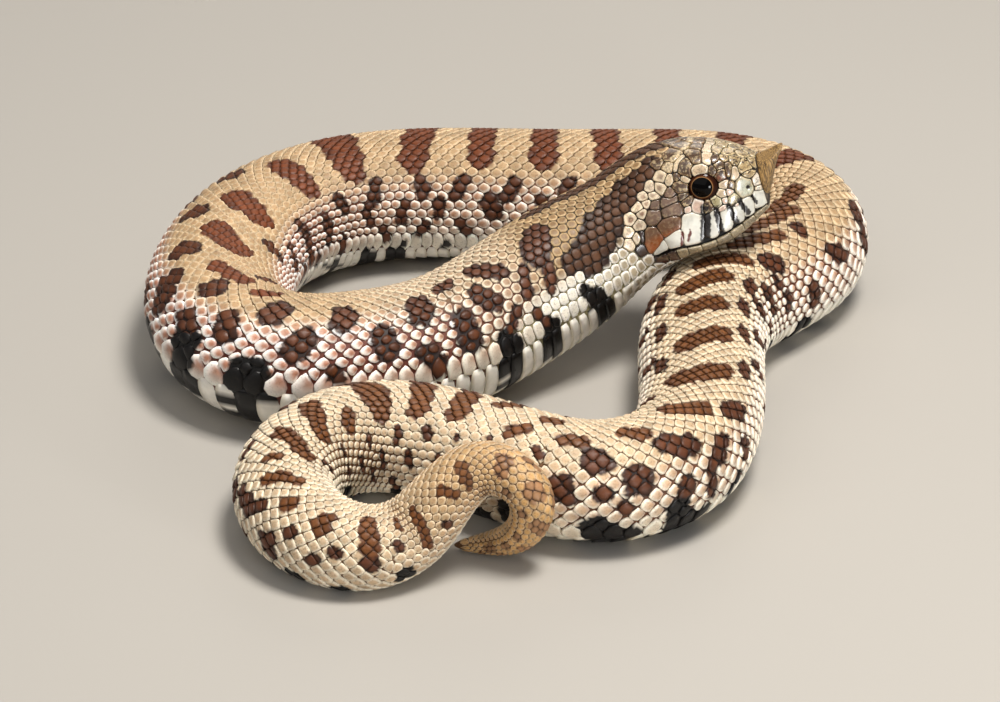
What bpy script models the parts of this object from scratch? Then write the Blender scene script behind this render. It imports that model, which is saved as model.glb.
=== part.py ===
"""Western hognose snake, coiled at rest, life size. Metres, +Z up, head towards +X.

The body is one loft along a bent spine, divided into short lengths with a thin gap between them.
A section's angle starts at the middle of the back, and the animal's left is positive.
"""

import math

import bmesh
import bpy
import numpy as np

MM = 0.001
NAME = "hognose_snake"

# Spine, nose first, mm: x, y, height of the centre (0 = lies on the floor), roll of the back in degrees.
PATH = [
    (42.6, 0.7, 31.3, 10), (34.5, 1.5, 28.8, 10), (26.5, 2.3, 26.1, 12), (14.4, -1.6, 19.6, 20),
    (3.0, -8.2, 14.3, 24), (-10.0, -16.4, 10.9, 22), (-22.0, -20.3, 10.4, 18), (-33.5, -20.5, 0, 14),
    (-42.5, -14.0, 0, 10), (-46.0, -2.5, 0, 5), (-45.0, 10.0, 0, 2), (-39.5, 23.0, 0, 0),
    (-28.0, 32.5, 0, -2), (-12.0, 36.0, 0, -2), (9.0, 35.8, 0, 0), (27.0, 36.2, 0, 0),
    (40.5, 34.5, 0, 0), (49.5, 27.0, 0, 0), (50.5, 16.5, 0, 0), (44.5, 7.5, 0, 0),
    (37.0, -1.0, 0, 2), (33.0, -11.5, 0, 2), (32.0, -24.5, 0, 0), (31.0, -38.0, 0, 0),
    (26.0, -50.0, 0, 0), (15.0, -55.0, 0, 0), (3.0, -50.5, 0, -6), (-9.0, -43.5, 0, -16),
    (-20.5, -41.0, 0, -14), (-30.0, -46.5, 0, 0), (-32.5, -58.0, 0, 15), (-27.0, -67.0, 0, 28),
    (-18.8, -68.9, 0, 34), (-12.9, -66.8, 7.6, 34), (-8.6, -65.5, 12.3, 34), (-1.6, -64.0, 16.7, 34),
    (4.2, -66.0, 13.8, 34), (3.6, -65.1, 6.7, 34), (-1.4, -62.2, 2.4, 34), (-5.8, -60.9, 1.2, 34),
]
CENTRE = (1.87, -13.94)  # mm, taken off every x and y so that the box stands on the origin
SINK = 0.95  # the belly's flat: height of a resting centre, as a part of the half height
TAIL_TURNS_FREE = 0.90  # from this part of the length on, the back follows the tail's own curl

# Part of the length, half width, half height, mm.
GIRTH = [
    (0, 5.0, 5.0), (0.045, 7.9, 8.8), (0.07, 9.4, 10.8), (0.10, 10.2, 11.4), (0.14, 10.8, 11.0),
    (0.21, 11.8, 10.8), (0.28, 12.0, 10.9), (0.37, 11.6, 11.0), (0.48, 11.0, 10.8),
    (0.60, 10.2, 10.1), (0.71, 9.5, 9.4), (0.79, 8.9, 8.8), (0.85, 7.9, 7.8), (0.885, 6.8, 6.7),
    (0.91, 5.7, 5.7), (0.932, 4.6, 4.6), (0.950, 3.8, 3.8), (0.966, 3.3, 3.3), (0.98, 2.6, 2.6),
    (0.991, 1.8, 1.8), (1.0, 0.9, 0.9),
]

# Head sections, mm: distance behind the snout; then height of the crown; half width and height of the
# brow, of the cheek at the eye, of the upper lip's edge and of the jaw; and height of the chin.
HEAD = [
    (0.0, 4.6, 2.4, 4.1, 3.0, 0.8, 2.3, -3.1, 1.7, -3.9, -4.2),
    (2.5, 6.3, 3.5, 5.5, 4.4, 1.4, 3.9, -3.9, 3.1, -5.2, -5.6),
    (6.0, 8.0, 4.9, 6.9, 5.9, 2.2, 6.0, -5.0, 4.6, -6.8, -7.2),
    (9.5, 9.2, 5.7, 7.5, 6.6, 2.9, 7.4, -5.8, 5.6, -7.4, -7.8),
    (14.0, 10.0, 6.1, 7.9, 7.9, 2.2, 8.6, -5.6, 6.4, -7.8, -8.3),
    (19.0, 10.0, 6.1, 7.8, 8.6, 2.2, 8.7, -5.0, 6.4, -8.0, -8.9),
    (25.0, 9.4, 6.1, 7.4, 8.4, 2.2, 8.2, -5.0, 5.6, -8.3, -9.6),
]
KEY_ANGLES = (0, 35, 75, 118, 148, 180)  # round the section: crown, brow, cheek, lip, jaw, chin
LIP = 118  # degrees from the crown to the mouth
HEAD_BLEND = (16.0, 34.0)  # mm behind the snout, where the head's sections fade into the body's

# Rostral scale, mm forward of the snout: forward, top, bottom, half width.
ROSTRAL = [
    (0.35, 4.7, -2.4, 3.0), (1.1, 4.9, -1.5, 3.0), (2.1, 5.05, 0.7, 2.8),
    (3.1, 5.2, 2.8, 2.25), (3.9, 5.25, 4.1, 1.5), (4.5, 5.25, 4.7, 0.6),
]

# Eyes, mm: distance behind the snout, angle round the section, and the lens-shaped eyeball.
EYE_BACK = 8.5
EYE_ANGLE = 74
EYE_RADIUS = 2.55
EYE_THICKNESS = 1.7  # half
EYE_DEPTH = 0.95  # its centre, below the cheek
SOCKET_GAP = 0.25

GAP = 0.3  # between neighbouring lengths
JAW_START = 0.5  # the lower jaw begins this far behind the snout
JAW_END = 21.8
MOUTH_GAP = 2.2  # degrees round the section, each side of the lip
TRUNK_START = 60.0
TAIL_START = 0.86  # part of the length, at the vent
MOST_BEND = 42  # degrees in one length
LONGEST = 40.0
RING_STEP = 4.0
TAIL_RING_STEP = 2.0
HEAD_RING_STEP = 1.4
SIDES = 20
HEAD_SIDES = 30  # over the upper head, from lip to lip
JAW_SIDES = 16
ROSTRAL_SIDES = 16
ROSTRAL_SQUARENESS = 0.8  # 1 is an ellipse, less is squarer
EYE_SEGMENTS = 18
EYE_RINGS = 10
CREASE = 40  # degrees, above which an edge looks sharp
STEP = 0.25  # of the sampled spine

SKIN = (0.55, 0.42, 0.29)
LABIAL = (0.78, 0.76, 0.68)
HORN = (0.42, 0.33, 0.22)
EYE = (0.02, 0.015, 0.012)


def natural_cubic(t, y, at):
    """A cubic through every point, straight at both ends."""
    t, y = np.asarray(t, float), np.asarray(y, float)
    count, gap = len(t), np.diff(t)
    rows, right = np.eye(count), np.zeros((count, y.shape[1]))
    for i in range(1, count - 1):
        rows[i, i - 1 : i + 2] = gap[i - 1], 2 * (gap[i - 1] + gap[i]), gap[i]
        right[i] = 6 * ((y[i + 1] - y[i]) / gap[i] - (y[i] - y[i - 1]) / gap[i - 1])
    bend = np.linalg.solve(rows, right)
    i = np.clip(np.searchsorted(t, at) - 1, 0, count - 2)
    h = gap[i][:, None]
    a, b = (t[i + 1] - at)[:, None] / h, (at - t[i])[:, None] / h
    curve = ((a**3 - a) * bend[i] + (b**3 - b) * bend[i + 1]) * h**2 / 6
    return a * y[i] + b * y[i + 1] + curve


def girth(part):
    table = np.array(GIRTH)
    size = natural_cubic(table[:, 0], table[:, 1:], np.asarray(part, float))
    return size[:, 0], size[:, 1]


def along(points):
    return np.concatenate([[0], np.cumsum(np.linalg.norm(np.diff(points, axis=0), axis=1))])


def make_spine():
    """Distances, places and the animal's side and up directions along the spine."""
    path = np.array(PATH, float)
    path[:, :2] -= CENTRE
    rough = path[:, :3].copy()
    rough[:, 2] = np.where(path[:, 2] > 0, path[:, 2], 9.0)
    run = along(rough)
    path[:, 2] = np.where(path[:, 2] > 0, path[:, 2], SINK * girth(run / run[-1])[1])
    fine = natural_cubic(run, path, np.linspace(0, run[-1], 4001))
    done = along(fine[:, :3])
    s = np.linspace(0, done[-1], int(round(done[-1] / STEP)) + 1)
    place = np.stack([np.interp(s, done, fine[:, i]) for i in range(3)], 1)
    roll = np.radians(np.interp(s, done, fine[:, 3]))
    ahead = np.gradient(place, axis=0)
    ahead /= np.linalg.norm(ahead, axis=1)[:, None]
    side = np.cross(ahead, [0, 0, 1.0])
    side /= np.linalg.norm(side, axis=1)[:, None]
    up = np.cross(side, ahead)
    cos, sin = np.cos(roll)[:, None], np.sin(roll)[:, None]
    side, up = side * cos - up * sin, up * cos + side * sin
    for i in range(int(len(s) * TAIL_TURNS_FREE), len(s)):
        side[i] = side[i - 1] - ahead[i] * side[i - 1].dot(ahead[i])
        side[i] /= np.linalg.norm(side[i])
        up[i] = np.cross(side[i], ahead[i])
    return s, place, side, up


S, PLACE, SIDE, UP = make_spine()
LENGTH = S[-1]


def head_section(back, angles):
    """Half widths and heights round the head, for each distance behind the snout."""
    table = np.array(HEAD)
    row = natural_cubic(table[:, 0], table[:, 1:], np.clip(back, 0, table[-1, 0]))
    zero = np.zeros(len(row))
    half = [(zero, row[:, 0])] + [(row[:, i], row[:, i + 1]) for i in (1, 3, 5, 7)]
    half.append((zero, row[:, 9]))
    keys = [(angle, np.stack(pair, 1)) for angle, pair in zip(KEY_ANGLES, half)]
    keys += [(360 - angle, pair * [-1, 1]) for angle, pair in keys[-2:0:-1]]
    keys = [(a - 360, p) for a, p in keys] + keys + [(a + 360, p) for a, p in keys]
    known = np.radians([a for a, _ in keys])
    shape = np.stack([p for _, p in keys]).reshape(len(keys), -1)
    found = natural_cubic(known, shape, np.mod(angles, 2 * math.pi))
    return found.reshape(len(angles), len(row), 2).transpose(1, 0, 2)


def surface(back, angles):
    """Points of the skin, mm: one row for each distance behind the snout, one column for each angle."""
    back, angles = np.atleast_1d(np.asarray(back, float)), np.asarray(angles, float)
    wide, high = girth(np.clip(back, 0, LENGTH) / LENGTH)
    body = np.stack([np.outer(wide, np.sin(angles)), np.outer(high, np.cos(angles))], 2)
    fade = np.clip((back - HEAD_BLEND[0]) / (HEAD_BLEND[1] - HEAD_BLEND[0]), 0, 1)
    fade = (fade * fade * (3 - 2 * fade))[:, None, None]
    flat = head_section(back, angles) * (1 - fade) + body * fade
    place, side, up = ([np.interp(back, S, v[:, i]) for i in range(3)] for v in (PLACE, SIDE, UP))
    place, side, up = (np.stack(v, 1)[:, None] for v in (place, side, up))
    points = place + flat[:, :, :1] * side + flat[:, :, 1:] * up
    points[:, :, 2] = np.maximum(points[:, :, 2], 0)
    return points


def loft(name, rings, colour):
    """A closed solid through the rings, with a fan on each end."""
    mesh = bmesh.new()
    rows = [[mesh.verts.new(point * MM) for point in ring] for ring in rings]
    count = len(rows[0])
    for near, far in zip(rows, rows[1:]):
        for i in range(count):
            j = (i + 1) % count
            mesh.faces.new((near[i], near[j], far[j], far[i]))
    for row, ring in ((rows[0], rings[0]), (rows[-1], rings[-1])):
        middle = mesh.verts.new(np.mean(ring, axis=0) * MM)
        for i in range(count):
            mesh.faces.new((row[i], row[(i + 1) % count], middle))
    bmesh.ops.triangulate(mesh, faces=[face for face in mesh.faces if len(face.verts) > 3])
    bmesh.ops.recalc_face_normals(mesh, faces=mesh.faces)
    return add(name, mesh, colour)


def add(name, mesh, colour, collection=None):
    data = bpy.data.meshes.new(name)
    mesh.to_mesh(data)
    mesh.free()
    data.shade_smooth()
    data.set_sharp_from_angle(angle=math.radians(CREASE))
    obj = bpy.data.objects.new(name, data)
    material = bpy.data.materials.new(name)
    material.use_nodes = True
    shader = material.node_tree.nodes["Principled BSDF"]
    shader.inputs["Base Color"].default_value = (*colour, 1)
    shader.inputs["Roughness"].default_value = 0.45
    data.materials.append(material)
    (collection or COLLECTION).objects.link(obj)
    return obj


def round_angles(count=SIDES):
    return np.arange(count) * 2 * math.pi / count


def stations(start, end, step):
    return np.linspace(start, end, max(2, int(math.ceil((end - start) / step)) + 1))


def make_head():
    """The upper head and the lower jaw, parted along the mouth."""
    edge = math.radians(LIP - MOUTH_GAP)
    above = np.linspace(-edge, edge, HEAD_SIDES + 1)
    loft("head", surface(stations(0.0, JAW_END, HEAD_RING_STEP), above), SKIN)
    edge = math.radians(LIP + MOUTH_GAP)
    below = np.linspace(edge, 2 * math.pi - edge, JAW_SIDES + 1)
    loft("lower_jaw", surface(stations(JAW_START, JAW_END, HEAD_RING_STEP), below), LABIAL)


def make_rostral():
    """The upturned scale on the snout: a shovel, drawn to a point."""
    place, side, up = PLACE[0], SIDE[0], UP[0]
    forward = PLACE[0] - PLACE[4]
    forward /= np.linalg.norm(forward)
    rings = []
    for ahead, top, bottom, half in ROSTRAL:
        middle, high = (top + bottom) / 2, (top - bottom) / 2
        ring = []
        for angle in round_angles(ROSTRAL_SIDES):
            sin, cos = math.sin(angle), math.cos(angle)
            across = half * math.copysign(abs(sin) ** ROSTRAL_SQUARENESS, sin)
            level = middle + high * math.copysign(abs(cos) ** ROSTRAL_SQUARENESS, cos)
            ring.append(place + forward * ahead + side * across + up * level)
        rings.append(ring)
    loft("rostral_scale", np.array(rings), HORN)


def eye_frame(sign):
    """Centre of an eyeball and its three directions: out, forward and up."""
    angle = sign * math.radians(EYE_ANGLE)
    step = 0.3
    around = surface([EYE_BACK - step, EYE_BACK, EYE_BACK + step], [angle - 0.06, angle, angle + 0.06])
    forward = around[0, 1] - around[2, 1]
    forward /= np.linalg.norm(forward)
    turn = around[1, 2] - around[1, 0]
    out = np.cross(turn, forward)
    out /= np.linalg.norm(out)
    if out.dot(around[1, 1] - PLACE[int(EYE_BACK / STEP)]) < 0:
        out = -out
    return around[1, 1] - out * EYE_DEPTH, out, forward, np.cross(out, forward)


def eyeball(name, sign, more, collection=None):
    """A lens-shaped ball, its poles towards the cheek."""
    centre, out, forward, over = eye_frame(sign)
    mesh = bmesh.new()
    bmesh.ops.create_uvsphere(mesh, u_segments=EYE_SEGMENTS, v_segments=EYE_RINGS, radius=1)
    for vert in mesh.verts:
        x, y, z = vert.co
        wide, thick = EYE_RADIUS + more, EYE_THICKNESS + more
        vert.co = (centre + forward * x * wide + over * y * wide + out * z * thick) * MM
    bmesh.ops.recalc_face_normals(mesh, faces=mesh.faces)
    return add(name, mesh, EYE, collection)


def make_eyes():
    cutters = bpy.data.collections.new("cutters")
    bpy.context.scene.collection.children.link(cutters)
    for name, sign in (("eye_right", -1), ("eye_left", 1)):
        socket = eyeball("socket_" + name, sign, SOCKET_GAP, cutters)
        socket.display_type = "WIRE"
        socket.hide_render = True
        cut = bpy.data.objects["head"].modifiers.new("socket_" + name, "BOOLEAN")
        cut.operation, cut.solver, cut.object = "DIFFERENCE", "EXACT", socket
        eyeball(name, sign, 0.0)


def cuts_between(start, end, longest):
    """Distances at which a length ends: it has bent enough, or it is long enough."""
    heading = np.gradient(PLACE, axis=0)
    heading /= np.linalg.norm(heading, axis=1)[:, None]
    turn = np.degrees(np.arccos(np.clip((heading[1:] * heading[:-1]).sum(1), -1, 1)))
    bend = np.concatenate([[0], np.cumsum(turn)])
    total = np.interp(end, S, bend) - np.interp(start, S, bend)
    pace = bend / MOST_BEND + S / longest
    amount = np.interp(end, S, pace) - np.interp(start, S, pace)
    count = max(1, int(round(amount * 0.8)))
    wanted = np.linspace(np.interp(start, S, pace), np.interp(end, S, pace), count + 1)
    print(f"{start:.0f} to {end:.0f} mm bends {total:.0f} degrees: {count} lengths")
    return np.interp(wanted, pace, S)


def make_lengths(name, start, end, step, longest=LONGEST):
    marks = cuts_between(start, end, longest)
    for number, (near, far) in enumerate(zip(marks, marks[1:]), 1):
        last = far >= LENGTH - 0.01
        rings = surface(stations(near + GAP / 2, far - (0 if last else GAP / 2), step), round_angles())
        loft(f"{name}_{number:02d}", rings, SKIN)


for old in list(bpy.data.objects):
    bpy.data.objects.remove(old)
COLLECTION = bpy.data.collections.new(NAME)
bpy.context.scene.collection.children.link(COLLECTION)

make_head()
make_rostral()
make_eyes()
make_lengths("neck", JAW_END + GAP / 2, TRUNK_START, RING_STEP, 20.0)
make_lengths("trunk", TRUNK_START, TAIL_START * LENGTH, RING_STEP)
make_lengths("tail", TAIL_START * LENGTH, LENGTH, TAIL_RING_STEP, 20.0)
print(f"length {LENGTH:.1f} mm, {len(COLLECTION.objects)} solids")
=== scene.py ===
# %% [markdown]
# # A western hognose snake, coiled at rest
# This lesson dresses a solid model of a snake in skin, scales, head shields and eyes. The solids
# give the true outline in life size. Everything here is made over them, in the same place, in
# metres, with the floor at z = 0 and the head towards +X.

# %% Start from the solid model
import math

import bpy
import numpy as np
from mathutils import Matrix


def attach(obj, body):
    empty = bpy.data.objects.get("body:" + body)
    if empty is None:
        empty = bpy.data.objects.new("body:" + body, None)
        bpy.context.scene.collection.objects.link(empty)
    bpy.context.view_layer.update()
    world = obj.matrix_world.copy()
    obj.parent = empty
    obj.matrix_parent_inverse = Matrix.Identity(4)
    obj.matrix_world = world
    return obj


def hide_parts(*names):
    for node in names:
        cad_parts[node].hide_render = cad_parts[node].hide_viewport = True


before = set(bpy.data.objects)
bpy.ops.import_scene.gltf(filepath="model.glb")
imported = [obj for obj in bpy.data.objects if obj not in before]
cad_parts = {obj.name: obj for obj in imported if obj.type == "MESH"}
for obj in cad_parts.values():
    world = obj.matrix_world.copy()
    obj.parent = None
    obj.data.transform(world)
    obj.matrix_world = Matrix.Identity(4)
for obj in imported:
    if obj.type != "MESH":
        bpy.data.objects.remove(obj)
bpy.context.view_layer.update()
bpy.ops.object.select_all(action="DESELECT")
MM = 0.001
rng = np.random.default_rng(459)

# %% [markdown]
# ## The camera
# The snake is seen from the side of its tail, 30 degrees above the floor, through a long lens that
# keeps the coil's true proportions. A camera is a piece of the scene like any other, so it comes first.

# %% The camera
VIEW_DISTANCE = 0.672
VIEW_DOWN = math.radians(30)
VIEW_AIM = (-0.00187, 0.01394, 0.0)
FIELD = math.radians(14)

bpy.ops.object.camera_add(
    location=(
        VIEW_AIM[0],
        VIEW_AIM[1] - VIEW_DISTANCE * math.cos(VIEW_DOWN),
        VIEW_AIM[2] + VIEW_DISTANCE * math.sin(VIEW_DOWN),
    ),
    rotation=(math.pi / 2 - VIEW_DOWN, 0, 0),
)
camera = bpy.context.object
camera.data.sensor_width = 36
camera.data.lens = camera.data.sensor_width / 2 / math.tan(FIELD / 2)
camera.data.clip_start = 0.01
bpy.context.scene.camera = camera
print("camera height above the floor, mm:", round(camera.location.z / MM))

# %% [markdown]
# ## The body's own coordinates
# A snake is a tube along a bent line, so every place on it has two plain numbers: how far it lies
# behind the snout, in millimetres, and the angle round the body, in degrees from the middle of the
# back. The animal's left is positive and its belly is at 180. Scale rows, markings and head shields
# are all laid out in these two numbers. The tables are the ones that the solid model is made from.

# %% The body's tables
# Spine, nose first, mm: x, y, height of the centre (0 = lies on the floor), roll of the back, degrees.
PATH = [
    (42.6, 0.7, 31.3, 10), (34.5, 1.5, 28.8, 10), (26.5, 2.3, 26.1, 12), (14.4, -1.6, 19.6, 20),
    (3.0, -8.2, 14.3, 24), (-10.0, -16.4, 10.9, 22), (-22.0, -20.3, 10.4, 18), (-33.5, -20.5, 0, 14),
    (-42.5, -14.0, 0, 10), (-46.0, -2.5, 0, 5), (-45.0, 10.0, 0, 2), (-39.5, 23.0, 0, 0),
    (-28.0, 32.5, 0, -2), (-12.0, 36.0, 0, -2), (9.0, 35.8, 0, 0), (27.0, 36.2, 0, 0),
    (40.5, 34.5, 0, 0), (49.5, 27.0, 0, 0), (50.5, 16.5, 0, 0), (44.5, 7.5, 0, 0),
    (37.0, -1.0, 0, 2), (33.0, -11.5, 0, 2), (32.0, -24.5, 0, 0), (31.0, -38.0, 0, 0),
    (26.0, -50.0, 0, 0), (15.0, -55.0, 0, 0), (3.0, -50.5, 0, -6), (-9.0, -43.5, 0, -16),
    (-20.5, -41.0, 0, -14), (-30.0, -46.5, 0, 0), (-32.5, -58.0, 0, 15), (-27.0, -67.0, 0, 28),
    (-18.8, -68.9, 0, 34), (-12.9, -66.8, 7.6, 34), (-8.6, -65.5, 12.3, 34), (-1.6, -64.0, 16.7, 34),
    (4.2, -66.0, 13.8, 34), (3.6, -65.1, 6.7, 34), (-1.4, -62.2, 2.4, 34), (-5.8, -60.9, 1.2, 34),
]
CENTRE = (1.87, -13.94)  # mm, taken off every x and y
SINK = 0.95  # part of the half height that a resting stretch stands above the floor
TAIL_TURNS_FREE = 0.90  # part of the length behind which the tail's roll follows its own bends
# Part of the length, half width, half height, mm.
GIRTH = [
    (0, 5.0, 5.0), (0.045, 7.9, 8.8), (0.07, 9.4, 10.8), (0.10, 10.2, 11.4), (0.14, 10.8, 11.0),
    (0.21, 11.8, 10.8), (0.28, 12.0, 10.9), (0.37, 11.6, 11.0), (0.48, 11.0, 10.8),
    (0.60, 10.2, 10.1), (0.71, 9.5, 9.4), (0.79, 8.9, 8.8), (0.85, 7.9, 7.8), (0.885, 6.8, 6.7),
    (0.91, 5.7, 5.7), (0.932, 4.6, 4.6), (0.950, 3.8, 3.8), (0.966, 3.3, 3.3), (0.98, 2.6, 2.6),
    (0.991, 1.8, 1.8), (1.0, 0.9, 0.9),
]
# Head sections, mm: distance behind the snout; height of the crown; half width and height of the
# brow, of the cheek, of the upper lip's edge and of the jaw; and height of the chin.
HEAD = [
    (0.0, 4.6, 2.4, 4.1, 3.0, 0.8, 2.3, -3.1, 1.7, -3.9, -4.2),
    (2.5, 6.3, 3.5, 5.5, 4.4, 1.4, 3.9, -3.9, 3.1, -5.2, -5.6),
    (6.0, 8.0, 4.9, 6.9, 5.9, 2.2, 6.0, -5.0, 4.6, -6.8, -7.2),
    (9.5, 9.2, 5.7, 7.5, 6.6, 2.9, 7.4, -5.8, 5.6, -7.4, -7.8),
    (14.0, 10.0, 6.1, 7.9, 7.9, 2.2, 8.6, -5.6, 6.4, -7.8, -8.3),
    (19.0, 10.0, 6.1, 7.8, 8.6, 2.2, 8.7, -5.0, 6.4, -8.0, -8.9),
    (25.0, 9.4, 6.1, 7.4, 8.4, 2.2, 8.2, -5.0, 5.6, -8.3, -9.6),
]
KEY_ANGLES = (0, 35, 75, 118, 148, 180)  # crown, brow, cheek, lip, jaw, chin
HEAD_BLEND = (16.0, 34.0)  # mm, where the head's sections fade into the body's ovals
SPINE_STEP = 0.25  # mm
print(len(PATH), "places along the spine")


# %% From the tables to the surface
def natural_cubic(t, y, at):
    """A cubic through every point, straight at both ends."""
    t, y = np.asarray(t, float), np.asarray(y, float)
    count, gap = len(t), np.diff(t)
    rows, right = np.eye(count), np.zeros((count, y.shape[1]))
    for i in range(1, count - 1):
        rows[i, i - 1 : i + 2] = gap[i - 1], 2 * (gap[i - 1] + gap[i]), gap[i]
        right[i] = 6 * ((y[i + 1] - y[i]) / gap[i] - (y[i] - y[i - 1]) / gap[i - 1])
    bend = np.linalg.solve(rows, right)
    i = np.clip(np.searchsorted(t, at) - 1, 0, count - 2)
    h = gap[i][:, None]
    a, b = (t[i + 1] - at)[:, None] / h, (at - t[i])[:, None] / h
    curve = ((a**3 - a) * bend[i] + (b**3 - b) * bend[i + 1]) * h**2 / 6
    return a * y[i] + b * y[i + 1] + curve


def girth(part):
    """Half width and half height, mm, at each part of the length."""
    table = np.array(GIRTH)
    size = natural_cubic(table[:, 0], table[:, 1:], np.asarray(part, float))
    return size[:, 0], size[:, 1]


def along(points):
    """How far each point lies along the line that they make."""
    return np.concatenate([[0], np.cumsum(np.linalg.norm(np.diff(points, axis=0), axis=1))])


def unit(vectors):
    """The same directions, one long."""
    return vectors / np.linalg.norm(vectors, axis=-1, keepdims=True)


def make_spine():
    """Distances, places and the animal's side and up directions along the spine."""
    path = np.array(PATH, float)
    path[:, :2] -= CENTRE
    rough = path[:, :3].copy()
    rough[:, 2] = np.where(path[:, 2] > 0, path[:, 2], 9.0)
    run = along(rough)
    path[:, 2] = np.where(path[:, 2] > 0, path[:, 2], SINK * girth(run / run[-1])[1])
    fine = natural_cubic(run, path, np.linspace(0, run[-1], 4001))
    done = along(fine[:, :3])
    s = np.linspace(0, done[-1], int(round(done[-1] / SPINE_STEP)) + 1)
    place = np.stack([np.interp(s, done, fine[:, i]) for i in range(3)], 1)
    roll = np.radians(np.interp(s, done, fine[:, 3]))
    ahead = unit(np.gradient(place, axis=0))
    side = unit(np.cross(ahead, [0, 0, 1.0]))
    up = np.cross(side, ahead)
    cos, sin = np.cos(roll)[:, None], np.sin(roll)[:, None]
    side, up = side * cos - up * sin, up * cos + side * sin
    for i in range(int(len(s) * TAIL_TURNS_FREE), len(s)):
        side[i] = unit(side[i - 1] - ahead[i] * side[i - 1].dot(ahead[i]))
        up[i] = np.cross(side[i], ahead[i])
    return s, place, side, up


S, PLACE, SIDE, UP = make_spine()
LENGTH = S[-1]


def head_section(back, angles):
    """Half widths and heights round the head, for each distance behind the snout."""
    table = np.array(HEAD)
    row = natural_cubic(table[:, 0], table[:, 1:], np.clip(back, 0, table[-1, 0]))
    zero = np.zeros(len(row))
    half = [(zero, row[:, 0])] + [(row[:, i], row[:, i + 1]) for i in (1, 3, 5, 7)]
    half.append((zero, row[:, 9]))
    keys = [(angle, np.stack(pair, 1)) for angle, pair in zip(KEY_ANGLES, half)]
    keys += [(360 - angle, pair * [-1, 1]) for angle, pair in keys[-2:0:-1]]
    keys = [(a - 360, p) for a, p in keys] + keys + [(a + 360, p) for a, p in keys]
    known = np.radians([a for a, _ in keys])
    shape = np.stack([p for _, p in keys]).reshape(len(keys), -1)
    found = natural_cubic(known, shape, np.mod(angles, 2 * math.pi))
    return found.reshape(len(angles), len(row), 2).transpose(1, 0, 2)


def surface(back, angles):
    """Points of the surface, mm: one row for each distance, one column for each angle in radians."""
    wide, high = girth(np.clip(back, 0, LENGTH) / LENGTH)
    body = np.stack([np.outer(wide, np.sin(angles)), np.outer(high, np.cos(angles))], 2)
    fade = np.clip((back - HEAD_BLEND[0]) / (HEAD_BLEND[1] - HEAD_BLEND[0]), 0, 1)
    fade = (fade * fade * (3 - 2 * fade))[:, None, None]
    flat = head_section(back, angles) * (1 - fade) + body * fade
    place, side, up = ([np.interp(back, S, v[:, i]) for i in range(3)] for v in (PLACE, SIDE, UP))
    place, side, up = (np.stack(v, 1)[:, None] for v in (place, side, up))
    points = place + flat[:, :, :1] * side + flat[:, :, 1:] * up
    points[:, :, 2] = np.maximum(points[:, :, 2], 0)
    return points


print(f"the body is {LENGTH:.0f} mm long")

# %% [markdown]
# ## A fine sheet to read places from
# Thousands of scales need points and outward directions at any place. Working each one out from
# the tables would be slow, so the surface is worked out once on a fine sheet, one degree by a quarter
# of a millimetre, and everything after that reads between its points.

# %% The sheet and its outward directions
turns = np.radians(np.arange(-181, 182))
wide_sheet = surface(S, turns)
outward = np.cross(np.gradient(wide_sheet, axis=1), np.gradient(wide_sheet, axis=0))
outward /= np.linalg.norm(outward, axis=2)[:, :, None] + 1e-12
if (outward * (wide_sheet - PLACE[:, None])).sum() < 0:
    outward = -outward
SHEET, OUT = wide_sheet[:, 1:-1], outward[:, 1:-1]
NEAR, TURN = 0.4, 1.5  # mm and degrees to each side, over which the sheet's scale is measured


def read(sheet, back, degrees):
    """The sheet's value at each place, between its four nearest points."""
    u = np.clip(np.asarray(back, float) / S[1], 0, len(S) - 1.001)
    v = np.mod(np.asarray(degrees, float) + 180, 360)
    i, j = u.astype(int), v.astype(int)
    a, b = (u - i)[..., None], (v - j)[..., None]
    near = sheet[i, j] * (1 - b) + sheet[i, j + 1] * b
    far = sheet[i + 1, j] * (1 - b) + sheet[i + 1, j + 1] * b
    return near * (1 - a) + far * a


def on_skin(back, degrees, height):
    """Points this far above the body's surface, mm. None goes below the floor."""
    points = read(SHEET, back, degrees) + read(OUT, back, degrees) * np.asarray(height)[..., None]
    points[..., 2] = np.maximum(points[..., 2], 0)
    return points


def mm_per_unit(back, degrees):
    """How many millimetres a step of one along the body, and of one degree round it, cover."""
    lengthways = read(SHEET, back + NEAR, degrees) - read(SHEET, back - NEAR, degrees)
    sideways = read(SHEET, back, degrees + TURN) - read(SHEET, back, degrees - TURN)
    steps = np.clip(back + NEAR, 0, LENGTH) - np.clip(back - NEAR, 0, LENGTH)
    long = np.linalg.norm(lengthways, axis=-1) / steps
    return np.maximum(long, 0.3), np.maximum(np.linalg.norm(sideways, axis=-1) / (2 * TURN), 0.01)


print("the sheet holds", SHEET.shape[0] * SHEET.shape[1], "points")

# %% [markdown]
# ## Colours and soft steps
# Each colour is written as the hex value that a colour picker shows. Blender calculates with
# linear light, so one function turns every hex value to linear. Small helpers make a change from
# one colour or one stretch of the body to the next soft.


# %% Colour helpers
def linear(code):
    """An sRGB hex colour as linear light."""
    srgb = np.array([int(code[i : i + 2], 16) for i in (0, 2, 4)]) / 255
    return np.where(srgb <= 0.04045, srgb / 12.92, ((srgb + 0.055) / 1.055) ** 2.4)


def smooth(value, low, high):
    """0 below low, 1 above high, and an S-shaped rise between."""
    t = np.clip((np.asarray(value, float) - low) / (high - low), 0, 1)
    return t * t * (3 - 2 * t)


def fall(value, low, high):
    """1 below low, 0 above high."""
    return 1 - smooth(value, low, high)


def between(value, low, rise, top, high):
    """0 outside low and high, and 1 from rise to top."""
    return smooth(value, low, rise) * fall(value, top, high)


def mixed(first, second, share):
    """The first colour, turned towards the second by this share."""
    return first + (second - first) * np.asarray(share)[..., None]


def from_table(table, at):
    """Reads a table of pairs, straight from each one to the next."""
    return np.interp(at, *np.array(table, float).T)


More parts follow.
